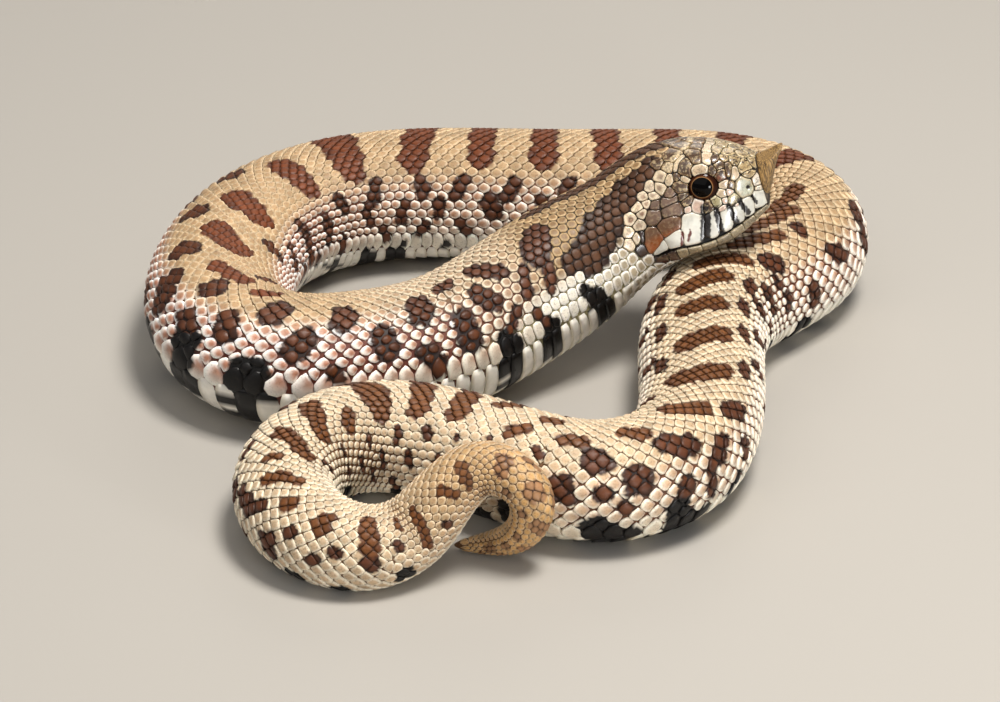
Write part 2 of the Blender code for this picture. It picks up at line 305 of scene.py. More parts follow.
print("mid grey is", np.round(linear("808080")[0], 3), "in linear light")

# %% [markdown]
# ## The markings
# A hognose has a row of brown saddles down the back, and rows of smaller spots down each side that
# lie between the marks of the row above. On the neck the first marks stretch into a long dark blotch
# behind the jaw. Each mark here is a stroke: a short line on the unrolled skin and a width. Strokes
# suit this better than a noise texture, because their order on the animal is regular. Saddles come
# in two browns, and umber is the one of the rear half.

# %% Marks of the head's back and the neck
LIP = 118  # degrees, the upper lip's edge
SADDLE, FLANK, BLACK, NAPE, UMBER = 0, 1, 2, 3, 4
# Back and angle of both ends, and half width, mm. These are mirrored to the other side.
NECK_MARKS = [
    (16, 38, 22, 48, 2.5, NAPE), (22, 48, 29, 63, 3.3, NAPE), (29, 65, 34, 79, 3.1, NAPE),
    (33, 70, 37, 75, 2.0, NAPE), (39, 36, 41.5, 50, 2.6, FLANK), (53, 30, 49, 46, 1.6, FLANK),
    (45.5, 58, 47, 73, 1.3, FLANK), (41, 64, 43, 82, 1.2, FLANK), (55, 50, 53.5, 66, 1.7, FLANK),
    (65.3, 41, 65.3, 49, 2.3, FLANK), (58, 29, 61, 32, 1.0, FLANK), (59.5, 66, 59.5, 88, 1.9, FLANK),
    (66, 84, 64.8, 96, 1.6, FLANK), (50.5, 80, 53, 94, 1.0, FLANK), (54, 100, 53.5, 160, 1.9, BLACK),
    (47.5, 90, 46.8, 104, 0.9, FLANK), (46, 112, 45.6, 142, 2.0, BLACK), (37.5, 103, 36, 112, 1.4, BLACK),
    (36, 118, 35, 150, 1.8, BLACK), (77, 34, 77, 42, 2.1, FLANK), (86.5, 26, 86.5, 34, 2.2, FLANK),
    (72, 59, 71.7, 75, 1.8, FLANK), (82.3, 52, 83, 68, 1.7, FLANK), (91.8, 44, 91.2, 62, 1.6, FLANK),
    (87.5, 84, 88.2, 148, 2.1, BLACK), (95.5, 74, 96, 126, 1.9, BLACK), (78.8, 85, 78.8, 90, 1.2, FLANK),
    (102.5, 55, 102.5, 70, 1.5, FLANK), (97.6, 22, 97.4, 29, 1.8, FLANK),
]
MIRRORED_TRUE = 60  # mm, behind which the left side's marks stray a little from the right side's
MEDIAN_STRIPE = (14, 0, 37, 0, 1.7, NAPE)
# Black bars on the lip, in the same terms.
LIP_BARS = [(2.0, 90, 1.6, 102, 0.24), (3.9, 92, 3.1, 110, 0.36), (5.6, 94, 5.0, 116, 0.4),
            (7.5, 95, 7.5, 121, 0.45), (9.1, 94, 10.4, 122, 0.74)]
print(len(NECK_MARKS), "marks on each side of the neck")

# %% [markdown]
# Where the body bends, the pattern is squeezed on the inside and drawn out on the outside. The marks
# of the bends are therefore placed one by one, each on its own side. Loops lay the saddles and spots
# of the calm stretches between, with small seeded differences so that no two are alike.

# %% Marks of the trunk and tail
# Back and angle of both ends, and half width, mm. These aren't mirrored.
BEND_MARKS = {
    SADDLE: [
        (139.8, 4, 139.9, 34, 2.7), (126.2, 1, 122.8, 26, 2.8), (115.6, -6, 109.2, 14, 2.4),
        (103, -9, 96.5, 0, 1.65), (91.5, -9, 88.5, -4, 1.2),
    ],
    UMBER: [
        (249.5, 21, 240.5, 9, 1.8), (258, 7, 248.5, 0, 1.6), (263.5, -3, 255.5, -18, 1.4),
        (271, 10, 265.8, -24, 1.6), (316, 5, 312.5, -19, 1.6), (325.2, -8, 322.8, -16, 1.3),
        (333.2, -17, 331, -18, 1.3), (337.6, 10, 335.6, 10, 1.2), (340.6, -16, 339.5, -11, 1.5),
        (345.9, 21, 344.6, 28, 1.5), (351.8, 26, 351, -6, 2.0), (359, 28, 357.8, -8, 2.0),
        (367.3, 22, 365, -15, 2.45), (372.2, -20, 373.3, -37, 1.35), (376.6, 6, 378.2, -15, 1.7),
        (378.2, -15, 381, -38, 1.6), (384.2, 2, 386, -20, 1.45), (386, -20, 389.5, -40, 1.4),
        (389.7, 9, 390, -6, 0.8), (393.7, 11, 394.5, -8, 1.1), (394.5, -8, 396.8, -23, 1.05),
        (398.8, 10, 399.3, -1, 0.95), (404, -4, 403.6, 13, 1.15), (409.5, -12, 409.5, 27, 1.25),
        (414.5, -8, 414.5, 4, 0.8), (420.4, -4, 419.6, 22, 0.95), (419.6, 22, 417.7, 50, 0.95),
        (425.1, 8, 426, 34, 0.8), (429, -4, 428.6, 36, 0.95),
    ],
    FLANK: [
        (134, -24, 134, -32, 2.0), (122, -26, 122, -34, 2.2), (110.4, -34, 110, -25, 2.2),
        (104.4, -44, 104.8, -56, 1.7), (97.2, -58, 95.8, -68, 1.4), (262, -36, 260.4, -44, 1.8),
        (251.5, -18, 251.5, -28, 1.1), (263, -54, 262.8, -60, 1.0), (261.5, -73, 261, -84, 1.1),
        (248.5, -56, 248, -66, 1.4), (254.5, -78, 254.5, -92, 1.2), (242, -70, 241.5, -88, 1.3),
        (309.6, -40, 308.2, -48, 1.7), (320.6, -32, 318.6, -41, 1.9), (329.2, -36, 328.8, -42, 1.75),
        (336.3, -33, 335.7, -38, 0.8), (343.5, -28, 343.5, -30, 0.65), (349, -31, 349, -33, 0.7),
        (354.8, -29, 353.8, -37, 0.9), (360.6, -34, 360.4, -44, 0.95), (368.6, -45, 368.4, -52, 0.85),
        (377.8, -58, 377.8, -64, 0.75), (387.6, -62, 387.2, -82, 0.7), (314, -53, 315.7, -67, 1.2),
        (325, -55, 325, -67, 1.55), (332.5, -60, 332.1, -74, 1.4), (310.5, -73, 311, -85, 1.0),
        (319.7, -70, 320.4, -82, 1.0), (328.6, -68, 328.4, -73, 1.1), (326.6, -83, 326.4, -88, 0.9),
        (317, -72, 317, -98, 0.6), (340.5, -58, 340.3, -72, 1.2), (347, -58, 347, -70, 1.0),
        (351.5, -56, 351.5, -68, 0.9), (357.4, -56, 357.2, -68, 0.9), (364.1, -60, 364, -72, 0.9),
        (372.1, -70, 372, -80, 0.9), (361.5, -88, 361.3, -100, 1.0), (354.5, -84, 354.5, -98, 1.0),
        (378, -82, 377.6, -90, 0.8), (368, -84, 368, -94, 0.9), (396.2, 27, 395.8, 33, 0.8),
        (401.1, 30, 400.9, 38, 0.8), (406, 34, 406, 38, 0.85), (413, 26, 413, 31, 0.8),
        (422.1, 53, 421.9, 58, 0.75), (399, 50, 399, 56, 0.75), (404, 50, 404, 56, 0.8),
        (409.5, 43, 409.5, 51, 1.0), (392, 46, 392, 54, 0.9),
    ],
    BLACK: [
        (312.5, -98, 313, -114, 1.0), (321, -94, 320.5, -126, 1.5), (329, -104, 329, -120, 1.7),
        (339, -92, 339, -112, 1.3), (348, -94, 348, -114, 1.3), (401.5, 98, 401.5, 112, 1.3),
        (406.5, 102, 406.5, 116, 1.3), (413, 74, 413, 84, 1.2),
    ],
}
# Calm stretches: tone, lean in mm, and where the saddles lie.
SADDLES = [
    (SADDLE, 0.0, (151.8, 165.5, 176.5, 187, 197.5, 208, 218.5, 229)),
    (UMBER, 1.7, (275.7, 283.5, 293.3, 304.3)),
    (UMBER, 0.0, (434.5, 439, 443.5, 448, 452, 455.5)),
]
SADDLE_REACH = [(139, 31), (200, 29), (230, 22), (275, 15), (304, 19), (434, 17)]  # back, degrees
FIRST_ROW = (115.5, 130.8, 146.5, 156, 165, 173, 182, 191, 199.5, 208, 216, 224, 232, 240.5)
SECOND_ROW = (121, 130, 140.3, 153, 161.5, 169.5, 178.5, 187, 195.5, 204, 212, 220, 228, 236.5)
FIRST_ANGLES = [(115, 44), (131, 58), (147, 61), (156, 57)]
SECOND_ANGLES = [(121, 70), (130, 84), (140, 81), (153, 78)]
BOTH_SIDES_FROM = 142  # mm, where the two rows start on the right side
BEND_SPOTS, LATE_SPOTS = (110.5, 123, 134.5), (272, 279.6, 288.2, 298.6)
BENDS_IN_SIGHT = (262, 306)  # mm, the calm stretch whose spots come from LATE_SPOTS
# Spots below one place: how far back, angle, spread in degrees, half width in mm, tone.
BELOW_SECOND_ROW = [(4.2, 97, 4, 1.1, FLANK), (0, 116, 3, 0.9, BLACK)]
BELOW_BEND = [(-2, 84, 6, 1.5, FLANK), (-7, 106, 9, 1.5, BLACK)]
BELOW_LATE = [(-4, 66, 7, 1.4, FLANK), (0, 90, 5, 1.1, FLANK), (-4, 112, 5, 1.0, BLACK)]
HIDDEN_SIDE = [(0, 44, 3, 1.4, FLANK), (4.2, 68, 7, 1.4, FLANK), (0, 92, 5, 1.1, FLANK),
               (4.2, 113, 5, 1.0, BLACK)]
BESIDE_BEND = [(5, 58, 7, 1.8, FLANK)]
HIDDEN_ROW, BELLY_ROW = (243, 396, 8.4), (104, 392, 8.0)  # mm: from, to and step
BELLY_ANGLES, BELLY_SHARE = (133, 165, 198, 227), 0.6

marks = [MEDIAN_STRIPE, *((*stroke, tone) for tone, strokes in BEND_MARKS.items() for stroke in strokes)]
marks += [(a, side * b, c, side * d, r, BLACK) for a, b, c, d, r in LIP_BARS for side in (-1, 1)]
for a, b, c, d, r, tone in NECK_MARKS:
    stray = 0 if a < MIRRORED_TRUE else rng.normal(0, 1.2)
    marks += [(a, -b, c, -d, r, tone), (a + stray, b, c + stray, d, r, tone)]


def spot(back, angle, spread, half, tone):
    """A short upright stroke, never quite the same twice."""
    angle += rng.normal(0, 2)
    spread *= rng.uniform(0.7, 1.3)
    lean = rng.normal(0, 0.4)
    back += rng.normal(0, 0.35)
    ends = (back - lean, angle - spread, back + lean, angle + spread)
    marks.append((*ends, half * rng.uniform(0.85, 1.15), tone))


def spots(back, side, pattern):
    """A few spots on one side, one below the other."""
    for behind, angle, spread, half, tone in pattern:
        spot(back + behind, side * angle, spread, half, tone)


for tone, slant, saddles in SADDLES:
    for number, back in enumerate(saddles):
        around = saddles[max(number - 1, 0) : number + 2]
        gap = (around[-1] - around[0]) / (len(around) - 1)
        reach = from_table(SADDLE_REACH, back) * rng.uniform(0.92, 1.08)
        lean = rng.normal(0, 0.06) * gap + slant
        half = gap * rng.uniform(0.205, 0.25)
        marks.append((back - lean, -reach, back + lean, reach, half, tone))
for back in FIRST_ROW:
    for side in (1, -1) if back > BOTH_SIDES_FROM else (1,):
        spots(back, side, [(0, from_table(FIRST_ANGLES, back), 5, 1.5, FLANK)])
for back in SECOND_ROW:
    for side in (1, -1) if back > BOTH_SIDES_FROM else (1,):
        spots(back, side, [(0, from_table(SECOND_ANGLES, back), 7, 1.45, FLANK), *BELOW_SECOND_ROW])
for back in BEND_SPOTS:
    spots(back, -1, BELOW_BEND)
    if back > BEND_SPOTS[0]:
        spots(back, -1, BESIDE_BEND)
for back in LATE_SPOTS:
    for side in (-1, 1):
        marks.append((back - 1.2, side * 43, back + 1.2, side * 43, 1.35, FLANK))
        spots(back, side, BELOW_LATE)
for back in np.arange(*HIDDEN_ROW):
    if back < BENDS_IN_SIGHT[0] or back > BENDS_IN_SIGHT[1]:
        spots(back, 1, HIDDEN_SIDE)
tail_saddles = SADDLES[-1][2]
for back, after in zip(tail_saddles, tail_saddles[1:]):
    for side in (-1, 1):
        spot((back + after) / 2, side * 54, 3, 0.85, FLANK)
for back in np.arange(*BELLY_ROW):
    for angle in BELLY_ANGLES:
        if rng.random() < BELLY_SHARE:
            spot(back + rng.normal(0, 1.5), angle, 13, 2.2, BLACK)
marks = np.array(marks, float)
print(len(marks), "marks in all")

# %% [markdown]
# ## Reading the markings at any place
# `marking` tells how deep inside a mark a place lies, and which kind of mark it is. `ground` gives
# the colours between the marks: tan on the back, pinkish brown with a white rim on the flanks,
# and white on the belly. Marks keep to whole scales in life, so their edges are pulled a little
# towards the edges of the scales, which gives them slightly stepped outlines.

# %% Reading the markings
mean_girth = np.mean(girth(S / LENGTH), axis=0) * math.pi / 180  # mm for each degree


def marking(back, degrees):
    """How far out from a mark's spine each place is, 0 to 1 inside it, and the mark's kind."""
    back, degrees = np.asarray(back, float).ravel(), np.asarray(degrees, float).ravel()
    best, kind = np.full(len(back), 9.0), np.zeros(len(back), int)
    wobble = 0.09 * np.sin(back * 2.3 + degrees * 0.31) + 0.07 * np.sin(back * 1.1 - degrees * 0.19 + 2)
    scale = np.interp(back, S, mean_girth)
    for a, b, c, d, r, tone in marks:
        near = np.flatnonzero(np.abs(back - (a + c) / 2) < abs(a - c) / 2 + 2 * r + 1)
        turn = np.mod(degrees[near] - (b + d) / 2 + 180, 360) - 180
        x, y = back[near] - (a + c) / 2, turn * scale[near]
        dx, dy = (c - a) / 2, (d - b) / 2 * scale[near]
        t = np.clip((x * dx + y * dy) / (dx * dx + dy * dy + 1e-9), -1, 1)
        out = np.hypot(x - t * dx, y - t * dy) / r + wobble[near]
        better = out < best[near]
        best[near[better]], kind[near[better]] = out[better], int(tone)
    return best, kind


# How white the flanks and belly are: back, share.
WHITENESS = [(0, 0.3), (26, 0.4), (55, 0.75), (66, 1), (125, 1), (150, 0.7), (235, 0.6), (262, 0.75),
             (288, 0.65), (315, 0.6), (345, 0.35), (400, 0.2), (459, 0.1)]
TAN, TAN_RIM = linear("B0916C"), linear("CDB693")
PINK, PINK_RIM = linear("AC7A62"), linear("FFF8F0")
CREAM, CREAM_RIM = linear("DCCFB2"), linear("EFE6D0")
WHITE, WHITE_RIM = linear("EFE9DC"), linear("F6F1E6")
TAIL_TAN, PALE_TAN = linear("D0A05E"), linear("D4BB9A")
# By the jaw the throat is tan, darkened from its cream as painted shade under the head.
SHADED_JAW_TAN, THROAT, THROAT_RIM = linear("A89A80"), linear("E6E0D0"), linear("F2EEE4")
NECK_TAN, NECK_RIM, FOLD_TAN = linear("846846"), linear("BBA17A"), linear("A68C74")
FRONT_FLANK_RISE = 11  # degrees that the flank's colours reach higher on the first stretch


def side_of(degrees):
    """Angle from the middle of the back, whichever side."""
    return np.abs(np.mod(np.asarray(degrees, float) + 180, 360) - 180)


def ground(back, degrees):
    """Colours of a scale's middle and rim between the marks, laid over each other in turn."""
    side, white = side_of(degrees), from_table(WHITENESS, back)
    flank = smooth(side + FRONT_FLANK_RISE * between(back, 52, 66, 92, 120), 40, 66)
    rear = (0.45 * smooth(back, 245, 270) + 0.25 * smooth(back, 320, 350)) * fall(back, 405, 430)
    throat = fall(back, 42, 60) * smooth(side, 74, 92)
    layers = [
        (flank, mixed(TAN, PINK, white), mixed(TAN_RIM, PINK_RIM, white)),
        (smooth(side, 88, 112), mixed(CREAM, WHITE, white), mixed(CREAM_RIM, WHITE_RIM, white)),
        (rear, PALE_TAN, CREAM_RIM),
        (fall(back, 38, 66), NECK_TAN, NECK_RIM),
        (0.5 * between(back, 38, 50, 64, 82), FOLD_TAN, CREAM_RIM),
        # The throat turns from the jaw's tan, which is partly painted shade, to cream.
        (throat, mixed(SHADED_JAW_TAN, THROAT, smooth(back, 27, 40)), THROAT_RIM),
        (0.7 * smooth(back, 416, 446), TAIL_TAN, TAN),
    ]
    middle, rim = TAN, TAN_RIM
    for share, to_middle, to_rim in layers:
        middle, rim = mixed(middle, to_middle, share), mixed(rim, to_rim, share)
    return middle, rim


# Saddle, flank, black, nape and umber: the middle of the mark and its edge.
MARK_TONES = np.array([
    (linear(middle), linear(edge))
    for middle, edge in (("70391A", "562A12"), ("5C331C", "2A130A"), ("080606", "050404"),
                         ("533520", "26140A"), ("70431F", "55301A"))
])
RUST_ROOT, TAIL_MARK = linear("8E4A28"), linear("BA9068")
STEPPED = 0.35  # how far marks step from scale to scale: 0 is a plain curve, 1 is whole scales
MARK_EDGE = 1.0  # half widths out from a mark's spine, where the mark ends
EDGE_DARK = 0.35  # how far the mark's tone darkens at a scale's own edge
HALO = (1.0, 1.6)  # half widths out, between which rims are paler
TAIL_FADE = 0.55  # how far the tail's marks fade


def scale_colours(back, degrees, share, root, light):
    """Colours of places on scales. Share is 1 at a scale's rim, and root 1 at its front end.

    Each row is one scale, and its first place is the scale's middle, which pulls the mark's edge
    a little towards the scale's own."""
    out, kind = marking(back, degrees)
    middle_out = np.repeat(out.reshape(back.shape)[:, 0], back.shape[1])
    out = out + (np.minimum(middle_out, out + 1) - out) * STEPPED
    middle, rim = ground(back.ravel(), degrees.ravel())
    plain = mixed(middle, rim, share.ravel())
    plain = mixed(plain, RUST_ROOT, root.ravel())
    halo = fall(out, *HALO) * (kind != BLACK) * share.ravel()
    plain = mixed(plain, np.minimum(plain * 1.15, 0.95), halo)
    dark = mixed(MARK_TONES[kind, 0], MARK_TONES[kind, 1], smooth(out, 0.45, MARK_EDGE))
    dark = mixed(dark, TAIL_MARK, TAIL_FADE * smooth(back.ravel(), 425, 440))
    dark = dark * (1 - EDGE_DARK * share.ravel()[:, None])
    clear = smooth(out, MARK_EDGE - 0.03, MARK_EDGE + 0.03)
    colour = mixed(dark, plain, clear)
    return (colour * light.ravel()[:, None]).reshape(back.shape + (3,)), clear.reshape(back.shape)


GROOVE_DARK, GROOVE_RED, GROOVE_TAN = linear("1E130D"), linear("5A2412"), linear("6B4E30")
GROOVE_THROAT, GROOVE_LIP = linear("8C8460"), linear("544A40")


def skin_colours(back, degrees):
    """The skin that shows between the scales."""
    out, kind = marking(back, degrees)
    side = side_of(degrees)
    throat = fall(back, 50, 62) * smooth(side, 84, 98) * smooth(back, 22, 27)
    lip = fall(back, 20, 23) * between(side, 93, 96, LIP - 2, LIP - 1)
    colour = mixed(GROOVE_TAN, GROOVE_RED, smooth(side, 40, 62) * from_table(WHITENESS, back))
    for tone, share in ((GROOVE_DARK, fall(back, 30, 55)), (GROOVE_THROAT, throat), (GROOVE_LIP, lip)):
        colour = mixed(colour, tone, share)
    return mixed(MARK_TONES[kind, 1] * 0.6, colour, smooth(out, 0.9, 1.3))


print("ground and mark colours ready")

# %% [markdown]
# ## Building meshes from arrays
# The skin and the scales are thousands of points worked out from the sheet. Placing them by hand
# tools one by one isn't practical, so they go in as arrays. Each mesh carries its colours with it, in
# an attribute called markings, and a second layer that says where each scale sits on the unrolled
# skin.


# %% Mesh helper
def make_piece(name, points, faces, colours, place_uv=None, collapsed=()):
    """A smooth mesh piece from points in mm. A collapsed face keeps no area on the unrolled skin."""
    mesh = bpy.data.meshes.new(name)
    loops = np.concatenate([f.ravel() for f in faces]).astype(np.int32)
    sizes = np.concatenate([np.full(len(f), f.shape[1]) for f in faces]).astype(np.int32)
    starts = np.concatenate([[0], np.cumsum(sizes)[:-1]]).astype(np.int32)
    mesh.vertices.add(len(points))
    mesh.vertices.foreach_set("co", (points * MM).astype(np.float32).ravel())
    mesh.loops.add(len(loops))
    mesh.loops.foreach_set("vertex_index", loops)
    mesh.polygons.add(len(sizes))
    mesh.polygons.foreach_set("loop_start", starts)
    mesh.update(calc_edges=True)
    layer = mesh.color_attributes.new("markings", "FLOAT_COLOR", "POINT")
    layer.data.foreach_set("color", np.clip(colours, 0, 1).astype(np.float32).ravel())
    if place_uv is not None:
        flat = np.repeat(np.isin(np.arange(len(sizes)), collapsed), sizes)
        first_corner = np.repeat(place_uv[loops[starts]], sizes, axis=0)
        uv = np.where(flat[:, None], first_corner, place_uv[loops])
        mesh.uv_layers.new(name="OFBake").data.foreach_set("uv", uv.astype(np.float32).ravel())
    mesh.shade_smooth()
    mesh.validate()
    obj = bpy.data.objects.new(name, mesh)
    bpy.context.scene.collection.objects.link(obj)
    print(f"{name}: {len(sizes)} faces, {int((sizes - 2).sum())} triangles")
    return obj


def with_alpha(colours, alpha=0.0):
    """Colours with a fourth number, which tells the materials how speckled the place is."""
    alpha = np.broadcast_to(alpha, colours.shape[:-1])[..., None]
    return np.concatenate([colours, alpha], -1)


print("a plain colour carries", with_alpha(TAN).round(2))


# %% [markdown]
# ## Where the eyes sit
# Each eye is a lens-shaped ball set into the cheek, turned the way the cheek faces there. The skin
# is hollowed for it, and a ring of small scales closes round it, so its frame is needed first.

# %% The eyes' frames
EYE_BACK, EYE_ANGLE = 8.5, 74
EYE_RADIUS, EYE_THICKNESS, EYE_DEPTH = 2.55, 1.7, 0.95
ORBIT = np.array([2.42, 2.12, 2.2])  # mm: half the opening along the head, half its height, and its reach


def eye_frame(sign):
    """Centre of an eyeball and its three directions: out, forward and up."""
    angle = sign * EYE_ANGLE
    forward = unit(read(SHEET, EYE_BACK - 0.3, angle) - read(SHEET, EYE_BACK + 0.3, angle))
    out = read(OUT, EYE_BACK, angle)
    out = unit(out - forward * out.dot(forward))
    over = np.cross(out, forward)
    if over[2] < 0:
        over = -over
    return read(SHEET, EYE_BACK, angle) - out * EYE_DEPTH, out, forward, over


eyes = {"eye_right": eye_frame(-1), "eye_left": eye_frame(1)}


def from_eyes(points):
    """Distance outside the nearer eye's oval opening, mm. Negative inside it."""
    away = []
    for centre, out, forward, over in eyes.values():
        flat = (points - centre - out * EYE_DEPTH) @ np.stack([forward, over, out], 1)
        away.append((np.linalg.norm(flat / ORBIT, axis=-1) - 1) * ORBIT.mean())
    return np.minimum(*away)


print("each eye's opening is", 2 * ORBIT[:2], "mm")

# %% [markdown]
# ## The skin
# Under the scales a snake's skin is soft and finely folded. It shows only as thin lines on the head
# and neck, and as wider rust-red patches on the flanks where the body is stretched. One tube from
# snout to tail tip covers the whole animal with no seam, a little inside the solids, so that the scales
# reach the true outline.

# %% The skin
SKIN_DEPTH = 0.34  # mm under the true outline
GROOVE_DEPTH, GROOVE_WIDTH = 0.55, 3.2  # of the mouth's line, mm and degrees
SOCKET_DEPTH = 2.1
SKIN_SIDES = 108


def skin_depth(back, degrees):
    """How far the skin lies under the outline: deeper at the mouth's line and in the sockets."""
    depth = SKIN_DEPTH * (1 - 0.5 * smooth(back, 400, 450))
    mouth = between(back, 0.2, 1.2, 21.0, 23.5)
    depth = depth + GROOVE_DEPTH * mouth * np.exp(-(((side_of(degrees) - LIP) / GROOVE_WIDTH) ** 2))
    return depth + SOCKET_DEPTH * fall(from_eyes(read(SHEET, back, degrees)), -0.4, 0.3)


skin_back = np.concatenate([np.arange(0, 30, 0.4), np.arange(30, LENGTH - 0.4, 0.85), [LENGTH]])
skin_turn = -180 + np.arange(SKIN_SIDES) * 360 / SKIN_SIDES
grid_back, grid_turn = np.meshgrid(skin_back, skin_turn, indexing="ij")
rings = on_skin(grid_back, grid_turn, -skin_depth(grid_back, grid_turn))
snout_way, tail_way = unit(PLACE[0] - PLACE[4]), unit(PLACE[-1] - PLACE[-4])


def rounded_end(ring, way, steps):
    """Rings that close a tube: each step is how wide it is still and how far out it has come, mm."""
    middle = ring.mean(axis=0)
    return [middle + (ring - middle) * wide + way * far for wide, far in steps]


front = rounded_end(rings[0], snout_way, [(0.3, 0.62), (0.6, 0.5), (0.82, 0.3), (0.95, 0.1)])
end = rounded_end(rings[-1], tail_way, [(0.85, 0.35), (0.6, 0.8), (0.3, 1.15)])
tube = np.concatenate([np.stack(front), rings, np.stack(end)])
tube_back = np.concatenate([[0] * len(front), skin_back, [LENGTH] * len(end)])
poles = [rings[0].mean(axis=0) + snout_way * 0.66, rings[-1].mean(axis=0) + tail_way * 1.25]
points = np.concatenate([tube.reshape(-1, 3), np.stack(poles)])
pole = tube.shape[0] * SKIN_SIDES
index = np.arange(pole).reshape(-1, SKIN_SIDES)
right = np.roll(index, -1, axis=1)
quads = np.stack([index[:-1], index[1:], right[1:], right[:-1]], 2).reshape(-1, 4)
fans = np.concatenate([
    np.stack([index[0], right[0], np.full(SKIN_SIDES, pole)], 1),
    np.stack([right[-1], index[-1], np.full(SKIN_SIDES, pole + 1)], 1),
])
all_back = np.concatenate([np.repeat(tube_back, SKIN_SIDES), [0, LENGTH]])
all_turn = np.concatenate([np.tile(skin_turn, tube.shape[0]), [0, 0]])
skin = make_piece("skin", points, [quads, fans], with_alpha(skin_colours(all_back, all_turn)))
print("skin is", SKIN_DEPTH, "mm under the outline")

# %% [markdown]
# ## How scales fit together
# Scales grow from neighbouring seeds until they meet, which is why their edges lie midway between
# their middles, like soap bubbles pressed flat. The same rule draws both the small body scales and
# the big shields of the head: each has a seed, a dot or a short line with a radius, and spreads
# until a neighbour's edge is as near as its own. This keeps even, narrow grooves everywhere, even
# where rows end or the body bends.

# %% Growing scales from seeds
REACH = 3.8  # mm, furthest that a scale spreads from its middle
SHARP, PUFFED = 15.0, 7.0  # per mm: how sharp the corners are, where scales lie tight and where loose
BISECTIONS = 11
FREE_REACH = 1.15  # mm beyond its seed's radius, where a scale has no neighbour
SAME_LOOP = 9  # mm along the body, beyond which a seed belongs to another loop
MOUTH_CORNER, LIP_ABOVE, LIP_BELOW = 22.6, 1.2, 2.2  # mm, and degrees left free beside the lip's edge
# How loose the scales of the flank lie: back, share.
LOOSENESS = [(0, 0), (46, 0), (60, 1), (130, 1), (165, 0.5), (240, 0.5), (258, 0.85), (300, 0.7),
             (345, 0.45), (400, 0.2), (459, 0)]


def looseness(back, turn):
    """0 where scales lie tight, 1 where the skin is stretched between them."""
    return from_table(LOOSENESS, back) * smooth(side_of(turn), 40, 62)


def line_distance(points, ends_a, ends_b):
    """Distance from points to lines between two ends."""
    run = ends_b - ends_a
    t = ((points - ends_a) * run).sum(-1) / np.maximum((run * run).sum(-1), 1e-9)
    return np.linalg.norm(points - ends_a - np.clip(t, 0, 1)[..., None] * run, axis=-1)


def near_seeds(middle, radius, back, count):
    """Indices of the nearest other seeds, none of them from a neighbouring loop of the coil."""
    order = np.argsort(back)
    found = np.zeros((len(middle), count), int)
    for start in range(0, len(order), 256):
        some = order[start : start + 256]
        low = np.searchsorted(back[order], back[some].min() - SAME_LOOP)
        high = np.searchsorted(back[order], back[some].max() + SAME_LOOP)
        pool = order[low:high]
        away = np.linalg.norm(middle[some][:, None] - middle[pool][None], axis=2) - radius[pool]
        away[np.abs(back[some][:, None] - back[pool][None]) > SAME_LOOP] = 99
        away[some[:, None] == pool[None]] = 999
        found[some] = pool[np.argsort(away, axis=1)[:, :count]]
    return found


def grow(seeds, chosen, spokes, groove):
    """Distances that the chosen seeds' scales spread along each spoke, mm."""
    a_back, a_turn, b_back, b_turn, radius = seeds.T
    ends_a, ends_b = read(SHEET, a_back, a_turn), read(SHEET, b_back, b_turn)
    back, turn = (a_back + b_back) / 2, (a_turn + b_turn) / 2
    neighbours = near_seeds(read(SHEET, back, turn), radius, back, 12)
    theta = np.arange(spokes) * 2 * math.pi / spokes
    long, wide = mm_per_unit(back, turn)
    sharp = SHARP + (PUFFED - SHARP) * looseness(back, turn)
    result = np.zeros((len(chosen), spokes))
    for start in range(0, len(chosen), 400):
        i = chosen[start : start + 400]
        near = neighbours[i]
        low, high = np.zeros((len(i), spokes)), np.full((len(i), spokes), REACH)
        upper, k = np.abs(turn[i])[:, None] < LIP, sharp[i][:, None]
        for _ in range(BISECTIONS):
            t = (low + high) / 2
            at_back = back[i][:, None] + t * np.cos(theta) / long[i][:, None]
            at_turn = turn[i][:, None] + t * np.sin(theta) / wide[i][:, None]
            p = read(SHEET, at_back, at_turn)
            own = line_distance(p, ends_a[i][:, None], ends_b[i][:, None]) - radius[i][:, None]
            other = line_distance(p[:, :, None], ends_a[near][:, None], ends_b[near][:, None])
            room = (other - radius[near][:, None] - own[:, :, None]) / 2
            room = -np.log(np.exp(-k[:, :, None] * np.clip(room, -2, 4)).sum(2)) / k
            room = np.minimum(room, FREE_REACH - own)
            side = side_of(at_turn)
            to_lip = np.where(upper, LIP - LIP_ABOVE - side, side - LIP - LIP_BELOW) * wide[i][:, None]
            room = np.where(at_back < MOUTH_CORNER, np.minimum(room, to_lip), room)
            room = np.minimum(np.minimum(room, at_back - 0.05), from_eyes(p))
            inside = room > groove / 2
            low, high = np.where(inside, t, low), np.where(inside, high, t)
        result[start : start + len(i)] = low
    return result, back[chosen], turn[chosen], long[chosen], wide[chosen]


print("scales spread up to", REACH, "mm")

# %% [markdown]
# ## Shields of the head
# The crown, cheeks and lips of a hognose are covered in shields that differ in size and shape, and
# their order is the animal's own: eight labials along the upper lip, a ring of small scales round the
# eye, a big nasal with the nostril, and two rows of temporals behind. They can't come from a
# regular pattern, so each is named by its place, on one side, and mirrored.

